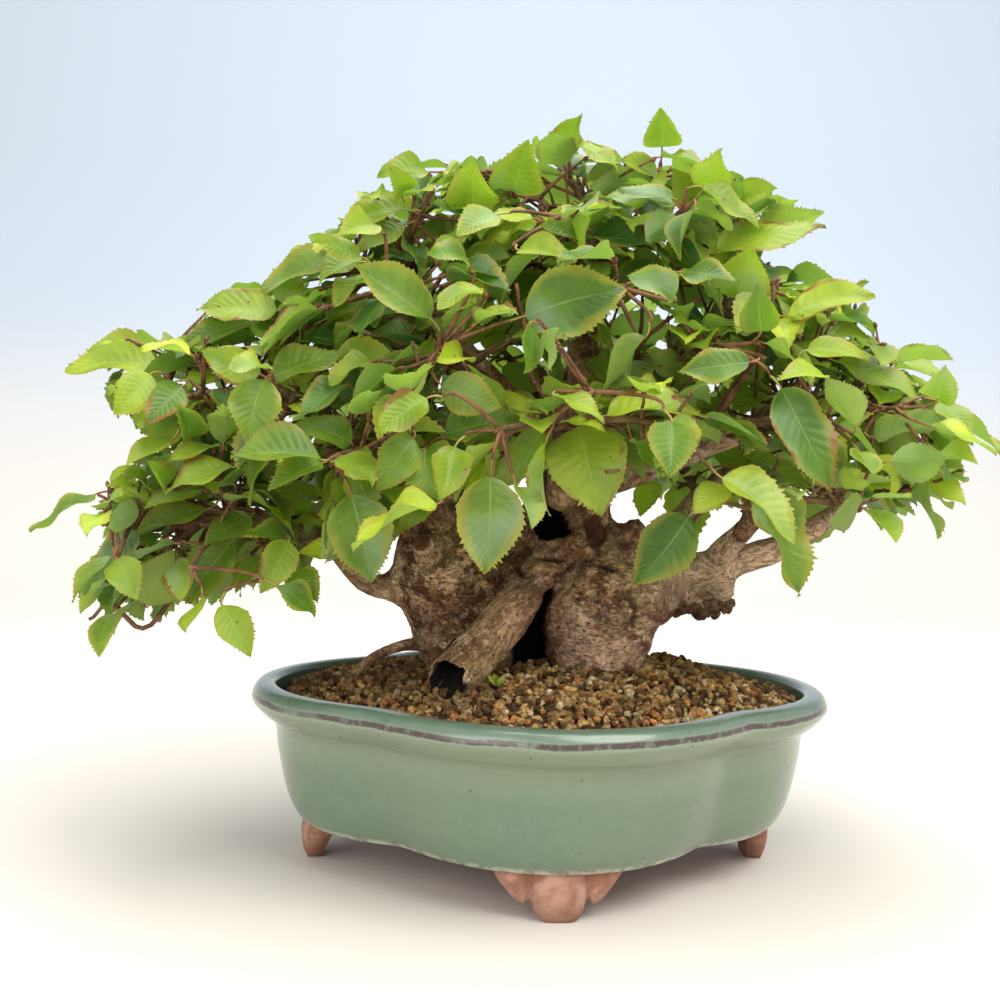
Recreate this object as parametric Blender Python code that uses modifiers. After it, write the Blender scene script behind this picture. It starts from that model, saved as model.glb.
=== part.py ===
"""Korean hornbeam bonsai in a four-lobed glazed pot.

Pieces: the pot with its four cloud feet, two drain screens over the drain holes, the granular
soil, the wood (root base, twin trunk and branches, grown as one) and the leafy sprays.
The origin is on the surface that the pot stands on, under the middle of the whole crown. X runs
along the pot's long side, Y towards the back and Z up. The shapes are worked out from the middle
of the pot, and an empty then moves them all to their place.
"""

import math
import random

import bmesh
import bpy
from mathutils import Matrix, Vector
from mathutils.bvhtree import BVHTree

MM = 0.001
GAP = 0.35 * MM

FINISHES = {  # colour and roughness
    "green_glaze": ((0.24, 0.38, 0.27), 0.25),
    "screen_plastic": ((0.03, 0.03, 0.03), 0.6),
    "grit": ((0.36, 0.24, 0.13), 0.95),
    "bark": ((0.33, 0.25, 0.18), 0.85),
    "foliage": ((0.20, 0.38, 0.06), 0.5),
}

# The tree leans out over its pot, so the pot stands this far from the origin.
POT_PLACE = (10.4 * MM, -15.8 * MM, 0)

# Pot: four overlapping lobes, each an arc in plan. Insets are measured inwards from the lip.
SIDE_LOBE_CENTRE, SIDE_LOBE_RADIUS = 50 * MM, 70 * MM
FRONT_LOBE_CENTRE, FRONT_LOBE_RADIUS = 16 * MM, 87 * MM
NOTCH_SHARPNESS = 0.35 / MM
POT_SEGMENTS = 48
FLOOR_TOP = 23 * MM
POT_PROFILE = (  # inset, height: up the outside, over the lip and down the inside
    (26, 17), (20, 19.5), (15, 29), (11, 46), (9.5, 57), (4, 62), (0, 67), (1.6, 72),
    (5, 73.5), (9.5, 72.5), (11.5, 64), (24, 25), (32, 23),
)
FOOT_COLUMNS = (  # along the foot, height of its lower edge, bulge: five rounded toes
    (-24, 15.5, 0), (-18.5, 10, 1.6), (-13.5, 6.2, 1.8), (-10.5, 7.5, 0.6), (-8.5, 3, 1.6),
    (-4.5, 0, 2.6), (4.5, 0, 2.6), (8.5, 3, 1.6), (10.5, 7.5, 0.6), (13.5, 6.2, 1.8),
    (18.5, 10, 1.6), (24, 15.5, 0),
)
FOOT_TOP = 19 * MM
FOOT_INSET, FOOT_THICKNESS = 25.5 * MM, 6.5 * MM
FOOT_WAIST, FOOT_SWELL = 0.45, 0.4 * MM
FOOT_UNDERCUT, FOOT_BACK_SLOPE = 1.2 * MM, 1.5 * MM
DRAIN_X, DRAIN_RADIUS, DRAIN_SIDES = 44 * MM, 9 * MM, 14
DRAIN_CUT = 30 * MM
SCREEN_SIDE, SCREEN_THICKNESS = 30 * MM, 1.2 * MM
SCREEN_BARS, SCREEN_BAR_WIDTH = 3, 2 * MM

# Soil: a mound of coarse grains, highest round the trunk.
SOIL_EDGE, SOIL_CROWN = 68.5 * MM, 82 * MM
SOIL_INSETS = (12.2, 18, 30, 46)
SOIL_SIDE = ((37, 23), (25.6, 25.6), (12.8, 62.2))  # inset, height, up inside the wall
SOIL_WALL_INSET, MOUND_POWER = 11 * MM, 2.2
GRAIN_RELIEF = 1.3 * MM
HOLE_MARGIN, ROOT_HOLE_MARGIN = 0.75 * MM, 1.2 * MM

# Wood: each limb is a run of stations, x, y, z and radius in millimetres.
MASSES = {
    "left_trunk": ((-25, 6, 76, 24), (-28, 6, 90, 24), (-33, 5, 104, 25), (-39, 4, 121, 25.5),
                   (-42, 4, 135, 20), (-42, 6, 148, 12)),
    "right_trunk": ((21, -1, 75, 20.5), (22, -2, 88, 20.5), (25, -2, 99, 24), (28, 0, 112, 24)),
    "centre_trunk": ((-4, 6, 100, 19), (3, 3, 120, 21), (8, 3, 138, 19.5), (11, 3, 152, 17),
                     (14, 4, 168, 13), (15, 5, 184, 10), (16, 6, 206, 7.5)),
    "back_trunk": ((0, 20, 76, 23), (0, 20, 92, 22), (2, 16, 115, 20)),
    "right_branch": ((30, 0, 108, 23), (48, -2, 115, 15), (62, -3, 120, 9.5), (79, -4, 125, 7),
                     (97, -5, 131, 6.2), (115, -4, 141, 5)),
    "front_root": ((12, -10, 132, 11), (-2, -21, 119, 10), (-20, -32, 101, 9.5),
                   (-37, -41, 83, 10), (-47, -46, 71, 10.5)),
    "burr": ((60, -5, 112, 6.5), (69, -6, 110, 7.5), (77, -6, 114, 5.5)),
    "knot": ((-48, -16, 127, 8), (-51, -20, 131, 6)),
    "left_shoulder": ((-52, 6, 113, 11), (-66, 6, 111, 6.5)),
}
LIMBS = {
    "left_low": ((-62, 6, 111, 6), (-76, 5, 114, 4.4), (-91, 0, 130, 3.8), (-110, -5, 137, 3.4),
                 (-131, -10, 139, 2.8), (-149, -14, 136, 2.2)),
    "left_high": ((-44, 5, 142, 9), (-57, 5, 153, 6.5), (-72, 3, 165, 5.4), (-90, 0, 179, 4.4),
                  (-108, -3, 190, 3.4), (-126, -3, 197, 2.4)),
    "upper_left": ((8, 3, 162, 9), (-10, 4, 183, 7), (-29, 2, 204, 5.4), (-48, 0, 224, 4.2),
                   (-62, -2, 241, 2.8)),
    "top": ((16, 6, 200, 7.6), (14, 4, 226, 6), (16, 2, 249, 4.6), (15, 0, 268, 3)),
    "upper_right": ((14, 5, 178, 8), (35, 4, 194, 6.4), (55, 2, 211, 5.2), (71, 0, 227, 4.2),
                    (84, 0, 242, 2.8)),
    "right_mid": ((16, 4, 157, 9), (44, 5, 166, 7), (70, 4, 176, 5.8), (97, 2, 186, 4.8),
                  (121, 0, 192, 3.6), (138, -2, 195, 2.4)),
    "right_low": ((110, -4, 138, 5.2), (124, -2, 147, 4), (137, -2, 154, 2.4)),
    "front": ((8, -6, 148, 9), (4, -26, 163, 6.2), (2, -45, 176, 4.6), (3, -60, 188, 3)),
    "front_right": ((70, -4, 124, 5.6), (78, -22, 139, 4.4), (86, -40, 152, 3)),
    "front_left": ((-42, -6, 136, 8), (-50, -26, 149, 5), (-60, -42, 159, 3.8), (-72, -50, 166, 2.6)),
    "back_left": ((-32, 14, 132, 9), (-46, 38, 153, 6), (-60, 58, 168, 4.4), (-72, 70, 178, 2.8)),
    "back": ((10, 14, 150, 9), (9, 38, 172, 6.4), (6, 58, 194, 4.8), (4, 72, 210, 3)),
    "back_right": ((42, 8, 118, 9), (62, 32, 138, 6), (80, 52, 154, 4.4), (94, 62, 165, 2.8)),
    "surface_root": ((-38, 0, 86, 4), (-52, -6, 89, 2.7), (-64, -12, 87.5, 2.2), (-74, -17, 82, 2),
                     (-81, -20, 73, 1.8)),
}
MASS_ROUNDNESS, LIMB_ROUNDNESS, TWIG_ROUNDNESS = 5, 1, 0
DOME_REACH, DOME_SHARE = 0.6, 0.55
MELT_SIZE, SETTLE_FACTOR, SETTLE_TIMES, THIN_TO = 3.4 * MM, 0.5, 3, 0.115
HOLLOW_RADIUS, HOLLOW_DEPTH, HOLLOW_CUT = 7 * MM, 9 * MM, 20 * MM
HOLLOW_SHARE, HOLLOW_LEAN = 0.93, (-0.1, -0.5, 0)
HOLLOW_END_SHARE, HOLLOW_MOUTH_SHARE = 0.6, 1.5

# Sprays: the limb that carries each, how far along it the shoot starts, and where the twig ends.
SPRAYS = {
    "left_low_tip": ("left_low", 1.0, (-172, -44, 138)),
    "left_low_under": ("left_low", 0.92, (-163, -22, 112)),
    "left_low_front": ("left_low", 0.75, (-138, -48, 122)),
    "left_low_inner": ("left_low", 0.55, (-112, -46, 118)),
    "left_low_upper": ("left_low", 0.7, (-134, -34, 160)),
    "left_low_back": ("left_low", 0.8, (-158, 24, 146)),
    "left_low_rear": ("left_low", 0.5, (-118, 46, 140)),
    "left_high_tip": ("left_high", 1.0, (-164, 2, 203)),
    "left_high_front": ("left_high", 0.85, (-146, -38, 186)),
    "left_high_back": ("left_high", 0.8, (-132, 40, 204)),
    "left_high_under": ("left_high", 0.6, (-106, -52, 183)),
    "left_high_upper": ("left_high", 0.7, (-108, -10, 213)),
    "upper_left_tip": ("upper_left", 0.8, (-92, -8, 246)),
    "upper_left_front": ("upper_left", 0.7, (-68, -48, 232)),
    "upper_left_back": ("upper_left", 0.75, (-66, 42, 248)),
    "upper_left_top": ("upper_left", 1.0, (-54, -14, 264)),
    "upper_left_low": ("upper_left", 0.45, (-48, -62, 206)),
    "top_left": ("top", 0.7, (-22, -12, 284)),
    "top_tip": ("top", 1.0, (6, -6, 284)),
    "top_right": ("top", 0.8, (44, -6, 290)),
    "top_front": ("top", 0.5, (-4, -52, 258)),
    "top_back": ("top", 0.6, (32, 42, 274)),
    "top_back_left": ("top", 0.45, (-18, 46, 262)),
    "top_low": ("top", 0.25, (18, -66, 230)),
    "upper_right_tip": ("upper_right", 1.0, (72, -12, 265)),
    "upper_right_out": ("upper_right", 0.85, (99, 2, 244)),
    "upper_right_front": ("upper_right", 0.7, (82, -50, 238)),
    "upper_right_back": ("upper_right", 0.7, (82, 46, 252)),
    "upper_right_low": ("upper_right", 0.45, (56, -66, 210)),
    "upper_right_side": ("right_mid", 0.62, (112, -16, 221)),
    "right_mid_upper": ("right_mid", 0.85, (140, 8, 207)),
    "right_mid_front": ("right_mid", 0.75, (130, -50, 190)),
    "right_mid_tip": ("right_mid", 1.0, (160, -6, 190)),
    "right_mid_back": ("right_mid", 0.65, (128, 52, 202)),
    "right_mid_low": ("right_mid", 0.5, (98, -64, 184)),
    "right_low_tip": ("right_low", 1.0, (151, -20, 158)),
    "right_low_back": ("right_low", 0.7, (138, 40, 154)),
    "front_right_tip": ("front_right", 1.0, (112, -62, 150)),
    "front_right_under": ("front_right", 0.7, (70, -60, 150)),
    "front_left_tip": ("front_left", 1.0, (-86, -70, 164)),
    "front_left_low": ("front_left", 0.6, (-62, -66, 150)),
    "front_tip": ("front", 1.0, (6, -88, 190)),
    "front_left_side": ("front", 0.75, (-26, -80, 176)),
    "front_right_side": ("front", 0.8, (42, -80, 178)),
    "back_left_tip": ("back_left", 1.0, (-94, 88, 182)),
    "back_left_inner": ("back_left", 0.7, (-46, 88, 198)),
    "back_tip": ("back", 1.0, (2, 98, 216)),
    "back_upper_left": ("back", 0.7, (-34, 78, 238)),
    "back_upper_right": ("back", 0.75, (42, 78, 236)),
    "back_right_tip": ("back_right", 1.0, (112, 80, 172)),
    "back_right_inner": ("back_right", 0.7, (62, 90, 188)),
    "left_mid_front": ("left_high", 0.4, (-84, -62, 164)),
    "top_right_front": ("top", 0.6, (44, -48, 262)),
}
TWIG_RADIUS, TWIG_TIP_RADIUS = 1.9 * MM, 0.8 * MM
TWIG_PARTS, TWIG_BEND = 2, 0.45
END_TWIG_LEAN, SIDE_TWIG_LEAN = 0.9, 0.35
STEP_OUT = 0.1 * MM

# Leaves as they are seen from VIEWPOINT, on a sheet of 1000 units a side: base across and down,
# tip across and down, and width. They are seated on the twigs behind them.
SEEN_LEAVES = (
    # the left side
    (160, 366, 65, 359, 35), (150, 374, 114, 414, 38), (174, 382, 125, 410, 24), (182, 386, 145, 420, 32),
    (207, 401, 152, 410, 12), (190, 438, 186, 410, 26), (170, 441, 124, 458, 12), (220, 446, 167, 456, 12),
    (265, 380, 250, 444, 50), (234, 467, 163, 490, 24), (322, 460, 231, 450, 30), (320, 497, 267, 484, 22),
    (207, 510, 132, 536, 24), (250, 517, 205, 541, 30), (232, 542, 182, 603, 42), (289, 541, 262, 590, 36),
    (292, 570, 316, 597, 30), (277, 585, 316, 612, 22), (149, 606, 170, 554, 46), (117, 559, 135, 599, 34),
    (140, 530, 91, 566, 28), (112, 557, 69, 600, 14), (109, 577, 76, 606, 12), (112, 614, 94, 649, 22),
    (201, 600, 182, 629, 8), (222, 605, 251, 652, 34), (96, 494, 27, 527, 10), (147, 487, 129, 470, 10),
    (102, 514, 84, 526, 12), (165, 487, 157, 463, 18), (262, 318, 184, 341, 26), (260, 374, 201, 350, 36),
    (224, 371, 184, 390, 16), (265, 369, 231, 362, 8), (268, 380, 345, 345, 30), (167, 368, 200, 378, 22),
    (277, 310, 196, 305, 34), (326, 319, 370, 299, 20), (322, 463, 268, 480, 24), (292, 540, 248, 530, 22),
    (262, 560, 235, 590, 24), (178, 560, 176, 597, 26),
    # the left shoulder and the top
    (431, 319, 356, 261, 42), (467, 259, 433, 247, 17), (481, 289, 437, 302, 15), (427, 172, 379, 171, 20),
    (402, 197, 398, 174, 24), (416, 210, 345, 212, 20), (472, 211, 474, 168, 50), (375, 225, 344, 228, 22),
    (405, 225, 354, 249, 20), (452, 224, 405, 240, 20), (496, 215, 457, 232, 27), (360, 256, 319, 237, 22),
    (337, 260, 257, 280, 26), (360, 262, 319, 275, 14), (366, 275, 332, 301, 18), (406, 242, 424, 267, 14),
    (467, 252, 506, 250, 18),
    # the middle
    (351, 494, 372, 583, 64), (525, 316, 628, 289, 70), (461, 352, 489, 326, 20), (463, 358, 443, 352, 12),
    (442, 385, 499, 407, 44), (444, 435, 519, 414, 36), (502, 367, 546, 386, 28), (490, 352, 506, 318, 24),
    (530, 324, 534, 370, 14), (564, 330, 559, 389, 16), (607, 415, 707, 402, 28), (555, 396, 606, 414, 12),
    (579, 426, 599, 509, 82), (490, 476, 484, 575, 68), (426, 451, 441, 496, 58), (414, 438, 380, 487, 44),
    (427, 398, 377, 432, 36), (455, 447, 442, 500, 40), (542, 430, 515, 482, 32), (546, 442, 538, 515, 14),
    (517, 487, 534, 527, 22), (437, 504, 347, 535, 18), (634, 442, 660, 476, 20), (425, 341, 372, 327, 22),
    (352, 443, 300, 420, 30), (345, 385, 298, 413, 24),
    # the right shoulder and the top
    (519, 250, 567, 247, 20), (514, 293, 552, 272, 20), (675, 297, 634, 273, 28), (736, 299, 752, 252, 56),
    (682, 272, 735, 275, 20), (717, 254, 820, 210, 30), (705, 186, 719, 156, 40), (702, 187, 762, 226, 20),
    (742, 198, 770, 186, 24), (690, 204, 676, 171, 28), (662, 147, 661, 117, 36), (570, 144, 576, 120, 26),
    (657, 170, 624, 159, 20), (513, 192, 527, 145, 50), (577, 145, 619, 161, 14), (676, 204, 606, 193, 12),
    (674, 199, 619, 187, 14), (695, 207, 675, 257, 14), (577, 241, 551, 219, 16), (577, 241, 584, 218, 16),
    (655, 262, 612, 282, 24),
    # the right side
    (690, 515, 633, 585, 56), (672, 422, 669, 477, 48), (685, 482, 695, 541, 46), (652, 480, 640, 515, 26),
    (787, 316, 870, 281, 34), (761, 331, 757, 290, 38), (800, 337, 877, 333, 14), (807, 350, 869, 356, 22),
    (837, 362, 925, 397, 22), (781, 388, 836, 490, 54), (937, 399, 945, 370, 34), (939, 402, 972, 431, 22),
    (930, 426, 1000, 446, 8), (940, 452, 974, 457, 20), (925, 479, 966, 504, 20), (860, 452, 874, 474, 20),
    (872, 509, 897, 541, 22), (722, 478, 804, 532, 34), (752, 492, 812, 590, 44), (728, 486, 695, 508, 30),
    (745, 455, 820, 490, 16), (706, 447, 754, 467, 18), (750, 362, 677, 365, 32), (760, 381, 732, 337, 32),
    (825, 376, 782, 370, 12), (765, 397, 697, 405, 24), (690, 378, 650, 352, 26),
)
SEEN_BACKS = (  # the same, for leaves that show their lighter underside
    (139, 510, 104, 527, 26), (543, 332, 553, 370, 18), (646, 337, 582, 401, 22), (855, 426, 826, 376, 30),
    (874, 437, 946, 416, 26), (890, 461, 949, 459, 38), (844, 532, 857, 492, 20), (564, 165, 546, 127, 40),
    (514, 194, 586, 194, 30), (652, 180, 590, 185, 34), (681, 220, 640, 240, 30),
)
VIEWPOINT, VIEW_LENGTH, SHEET = (-56.9, -502.7, 160.8), 1200, 1000
VIEW_HEADING, VIEW_PITCH, VIEW_ROLL = math.radians(4.28), math.radians(-1.29), math.radians(1.52)
SEEN_LEAVES_KEPT, SEEN_PER_SPRAY = 106, 3
TWIG_CHOICES, TWIG_SAMPLES = 9, 14
FRONT_PULL, FRONT = 0.22, 90 * MM
SEEN_SHIFTS = (4, 1, 7, -2, 10, -5, 13, -8, 16, 20, -12, 24, 29, 34)
SEEN_LEAST_LENGTH, SEEN_LEAN, SEEN_MOST_LEAN = 24 * MM, 0.85, 20 * MM
SEEN_WIDEST, SEEN_NARROWEST, SEEN_GROWTH = 0.72, 0.6, 1.03
LONGEST_STALK, SHARPEST_STALK = 34 * MM, -0.4
STALK_SAMPLES, STALK_WOOD_BERTH = 9, 1.3 * MM

# Leaves: ovate, doubly toothed in life and cut here with one large tooth on each side.
LEAVES_PER_SPRAY = 3
LEAF_LENGTHS = (24 * MM, 38 * MM)
LEAF_WIDTH = 0.66
LEAF_THICKNESS = 0.7 * MM
LEAF_SIDE = ((0.24, 1.0), (0.6, 0.66), (0.67, 0.8))
LEAF_MIDDLE = 0.42
LEAF_FOLD, LEAF_DROOP, LEAF_ARCH = 0.22, 0.16, 0.4
STALK_RADIUS, STALK_LENGTH, STALK_LEAD = 0.6 * MM, 7 * MM, 7 * MM
STALK_ELBOW, STALK_FLATNESS = 1.4 * MM, 0.6
CLEARANCE, WOOD_BERTH, LEAF_BERTH_GROWTH = 0.9 * MM, 1.5 * MM, 1.05
TWIG_SHARE_WITH_LEAVES, LEAF_SHIFT = 0.85, (-0.07, 0.05)
LEAF_LOWEST_SHARE, LEAF_HIGHEST_SHARE = 0.12, 0.985
END_LEAF_SWING, SIDE_LEAF_SWING, SWING_STEP = (-0.4, 0.4), (0.5, 1.1), 0.07
OUTWARD_DEPTH, OUTWARD_PULL = 1.4, 0.35
DROOP_TOP, DROOP_RANGE, TOP_HANG_SHARE, HANG = 235 * MM, 100 * MM, 0.35, (0.4, 1.0)
STALK_VARIATION, SHRINK_STEP = (0.7, 1.2), 0.012
FACING_OUT, FACING_SCATTER = 0.8, 0.45
TRIES = 26
TWIG_HOLD, TWIG_BERTH = 0.97, 1.5
STALK_START, STALK_BERTH = 2.6 * MM, 1.3 * MM
LOWEST_LEAF = 84 * MM
SEED, SEED_STRIDE = 7, 1000


def millimetres(values):
    """A point given in millimetres, in metres."""
    return Vector(values[:3]) * MM


def clear_scene():
    for obj in list(bpy.data.objects):
        bpy.data.objects.remove(obj)


def collection(name):
    made = bpy.data.collections.new(name)
    bpy.context.scene.collection.children.link(made)
    return made


def material(name, colour, roughness):
    made = bpy.data.materials.new(name)
    made.use_nodes = True
    shader = made.node_tree.nodes["Principled BSDF"]
    shader.inputs["Base Color"].default_value = (*colour, 1)
    shader.inputs["Roughness"].default_value = roughness
    return made


def mesh_object(name, mesh, into, finish=None):
    made = bpy.data.objects.new(name, mesh)
    into.objects.link(made)
    if finish:
        mesh.materials.clear()
        mesh.materials.append(finish)
    return made


def mesh_from(name, points, faces):
    mesh = bpy.data.meshes.new(name)
    mesh.from_pydata([tuple(p) for p in points], [], faces)
    mesh.validate()
    return mesh


def evaluated_mesh(obj):
    graph = bpy.context.evaluated_depsgraph_get()
    mesh = bpy.data.meshes.new_from_object(obj.evaluated_get(graph))
    mesh.transform(obj.matrix_world)
    return mesh


def smooth(obj, angle=math.radians(40)):
    obj.data.shade_smooth()
    obj.data.set_sharp_from_angle(angle=angle)


def lofted(rings):
    """Points and faces of a skin through rings of equal count, closed at both ends."""
    count = len(rings[0])
    points = [p for ring in rings for p in ring]
    faces = []
    for k in range(len(rings) - 1):
        for i in range(count):
            j = (i + 1) % count
            faces.append((k * count + i, k * count + j, (k + 1) * count + j, (k + 1) * count + i))
    faces.append(tuple(reversed(range(count))))
    faces.append(tuple(range((len(rings) - 1) * count, len(rings) * count)))
    return points, faces


def lobe_reach(angle, inset):
    """Distance from the pot's middle to its wall, for a wall set in from the lip."""
    across, along = abs(math.cos(angle)), abs(math.sin(angle))

    def ray(part, other, centre, radius):
        return part * centre + math.sqrt(max(radius * radius - (other * centre) ** 2, 0))

    side = ray(across, along, SIDE_LOBE_CENTRE, SIDE_LOBE_RADIUS - inset)
    front = ray(along, across, FRONT_LOBE_CENTRE, FRONT_LOBE_RADIUS - inset)
    gap = abs(side - front) * NOTCH_SHARPNESS
    return max(side, front) + math.log1p(math.exp(-gap)) / NOTCH_SHARPNESS


def lobed_ring(inset, height, count=POT_SEGMENTS):
    ring = []
    for i in range(count):
        angle = math.tau * i / count
        reach = lobe_reach(angle, inset)
        ring.append(Vector((reach * math.cos(angle), reach * math.sin(angle), height)))
    return ring


def cloud_foot(angle):
    """One cloud-shaped foot: a curved plate that follows the wall, with its rounded toes."""
    middle = Vector((math.cos(angle), math.sin(angle), 0)) * lobe_reach(angle, FOOT_INSET)
    on_long_side = abs(math.sin(angle)) > abs(math.cos(angle))
    radius = (FRONT_LOBE_RADIUS if on_long_side else SIDE_LOBE_RADIUS) - FOOT_INSET
    centre = middle - Vector((math.cos(angle), math.sin(angle), 0)) * radius
    rings = []
    for along, low, bulge in FOOT_COLUMNS:
        turn = angle + along * MM / radius
        out = Vector((math.cos(turn), math.sin(turn), 0))
        face = centre + out * (radius + bulge * MM)
        back = centre + out * (radius - FOOT_THICKNESS)
        low = low * MM
        half = low + (FOOT_TOP - low) * FOOT_WAIST
        rings.append([
            face + Vector((0, 0, FOOT_TOP)),
            face + out * FOOT_SWELL + Vector((0, 0, half)),
            face - out * FOOT_UNDERCUT + Vector((0, 0, low)),
            back + out * FOOT_BACK_SLOPE + Vector((0, 0, low)),
            back + Vector((0, 0, FOOT_TOP)),
        ])
    return lofted(rings)


def united(base, others, cutters, solver="EXACT"):
    """Base with the other objects joined on and the cutters taken away, as one mesh."""
    for name, operation, members in (("join", "UNION", others), ("cut", "DIFFERENCE", cutters)):
        if not members:
            continue
        group = bpy.data.collections.new(base.name + "_" + name)
        for member in members:
            for holder in list(member.users_collection):
                holder.objects.unlink(member)
            group.objects.link(member)
        bpy.context.scene.collection.children.link(group)
        modifier = base.modifiers.new(name, "BOOLEAN")
        modifier.operation = operation
        modifier.operand_type = "COLLECTION"
        modifier.collection = group
        modifier.solver = solver
        mesh = evaluated_mesh(base)
        base.modifiers.clear()
        base.data = mesh
        for member in members:
            bpy.data.objects.remove(member)
        bpy.data.collections.remove(group)
    return base


def facing_out(mesh):
    shape = bmesh.new()
    shape.from_mesh(mesh)
    bmesh.ops.remove_doubles(shape, verts=shape.verts, dist=0.001 * MM)
    bmesh.ops.recalc_face_normals(shape, faces=shape.faces)
    shape.to_mesh(mesh)
    shape.free()


def cylinder(name, at, radius, height, sides, into):
    mesh = bpy.data.meshes.new(name)
    shape = bmesh.new()
    bmesh.ops.create_cone(shape, cap_ends=True, segments=sides, radius1=radius, radius2=radius,
                          depth=height, matrix=Matrix.Translation(at))
    shape.to_mesh(mesh)
    shape.free()
    return mesh_object(name, mesh, into)


def box(name, low, high, into):
    mesh = bpy.data.meshes.new(name)
    shape = bmesh.new()
    size = Vector(high) - Vector(low)
    middle = (Vector(high) + Vector(low)) / 2
    sized = Matrix.Translation(middle) @ Matrix.Diagonal((*size, 1))
    bmesh.ops.create_cube(shape, size=1, matrix=sized)
    shape.to_mesh(mesh)
    shape.free()
    return mesh_object(name, mesh, into)


def make_pot(parts, finish):
    rings = [lobed_ring(inset * MM, height * MM) for inset, height in POT_PROFILE]
    pot = mesh_object("pot", mesh_from("pot", *lofted(rings)), parts, finish)
    facing_out(pot.data)
    feet = []
    for quarter in range(4):
        foot = mesh_object("foot", mesh_from("foot", *cloud_foot(quarter * math.pi / 2)), parts)
        facing_out(foot.data)
        feet.append(foot)
    drains = [cylinder("drain", (x, 0, FLOOR_TOP), DRAIN_RADIUS, DRAIN_CUT, DRAIN_SIDES, parts)
              for x in (-DRAIN_X, DRAIN_X)]
    united(pot, feet, drains)
    smooth(pot)
    return pot


def make_screen(name, x, parts, finish):
    """A plastic grid that keeps the soil in over a drain hole."""
    low = FLOOR_TOP + GAP
    high = low + SCREEN_THICKNESS
    half = SCREEN_SIDE / 2
    thin = SCREEN_BAR_WIDTH / 2
    bars = []
    for k in range(SCREEN_BARS):
        at = thin - half + k * (SCREEN_SIDE - SCREEN_BAR_WIDTH) / (SCREEN_BARS - 1)
        bars.append(box("bar", (x - half, at - thin, low), (x + half, at + thin, high), parts))
        bars.append(box("bar", (x + at - thin, -half, low), (x + at + thin, half, high), parts))
    screen = bars[0]
    screen.name = name
    screen.data.materials.append(finish)
    united(screen, bars[1:], [])
    shape = bmesh.new()
    shape.from_mesh(screen.data)
    bmesh.ops.dissolve_limit(shape, angle_limit=math.radians(1), verts=shape.verts, edges=shape.edges)
    shape.to_mesh(screen.data)
    shape.free()
    return screen


def soil_height(x, y):
    """The mound's height, from its edge at the wall to its crown round the trunk."""
    angle = math.atan2(y, x)
    share = min(math.hypot(x, y) / lobe_reach(angle, SOIL_WALL_INSET), 1)
    return SOIL_EDGE + (SOIL_CROWN - SOIL_EDGE) * (1 - share ** MOUND_POWER)


def make_soil(parts, finish, wood, screens):
    rng = random.Random(SEED)
    rings = []
    for inset, height in SOIL_SIDE:
        rings.append(lobed_ring(inset * MM, height * MM + GAP))
    for inset in SOIL_INSETS:
        ring = lobed_ring(inset * MM, 0)
        for p in ring:
            bump = rng.uniform(-1, 1) * GRAIN_RELIEF if inset > SOIL_INSETS[0] else 0
            p.z = soil_height(p.x, p.y) + bump
        rings.append(ring)
    points, faces = lofted(rings)
    top = len(points)
    points.append(Vector((0, 0, SOIL_CROWN)))
    faces.pop()
    last = top - POT_SEGMENTS
    faces += [(last + i, last + (i + 1) % POT_SEGMENTS, top) for i in range(POT_SEGMENTS)]
    soil = mesh_object("soil", mesh_from("soil", points, faces), parts, finish)
    facing_out(soil.data)
    old_end = [(at, radius + ROOT_HOLE_MARGIN) for at, radius in stations(MASSES["front_root"])[-2:]]
    holes = [swollen(wood, parts), tube_object("old_root_hole", rounded_run(old_end), 2, parts)]
    for screen in screens:
        low = [min(v.co[k] for v in screen.data.vertices) - GAP for k in range(3)]
        high = [max(v.co[k] for v in screen.data.vertices) + GAP for k in range(3)]
        low[2] = FLOOR_TOP - GAP
        holes.append(box("recess", low, high, parts))
    united(soil, [], holes, "MANIFOLD")
    return soil


def swollen(wood, into):
    """The wood grown all over, to cut its own hole in the soil."""
    hole = mesh_object("hole", wood.data.copy(), into)
    grow = hole.modifiers.new("grow", "DISPLACE")
    grow.mid_level = 0
    grow.strength = HOLE_MARGIN
    mesh = evaluated_mesh(hole)
    hole.modifiers.clear()
    hole.data = mesh
    return hole


def stations(limb):
    return [(millimetres(s), s[3] * MM) for s in limb]


def along_limb(limb, share):
    """Point and direction at a share of a limb's length."""
    run = stations(limb)
    lengths = [(b[0] - a[0]).length for a, b in zip(run, run[1:])]
    left = share * sum(lengths)
    for (a, _), (b, _), length in zip(run, run[1:], lengths):
        if left <= length:
            return a.lerp(b, left / length), (b - a).normalized()
        left -= length
    return run[-1][0], (run[-1][0] - run[-2][0]).normalized()


def tube_object(name, run, roundness, into):
    """A tapering tube through points with radii, as a closed mesh. Roundness 0 has four sides."""
    line = bpy.data.curves.new(name, "CURVE")
    line.dimensions = "3D"
    line.bevel_depth = 1
    line.bevel_resolution = roundness
    line.use_fill_caps = True
    spline = line.splines.new("POLY")
    spline.points.add(len(run) - 1)
    for point, (at, radius) in zip(spline.points, run):
        point.co = (*at, 1)
        point.radius = radius
    guide = bpy.data.objects.new(name, line)
    into.objects.link(guide)
    mesh = evaluated_mesh(guide)
    bpy.data.objects.remove(guide)
    facing_out(mesh)
    return mesh_object(name, mesh, into)


def rounded_run(run):
    """The same run with domed ends, for a mass that is melted into others."""
    first, last = run[0], run[-1]
    ahead = (last[0] - run[-2][0]).normalized()
    behind = (first[0] - run[1][0]).normalized()
    return [(first[0] + behind * first[1] * DOME_REACH, first[1] * DOME_SHARE), *run,
            (last[0] + ahead * last[1] * DOME_REACH, last[1] * DOME_SHARE)]


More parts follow.
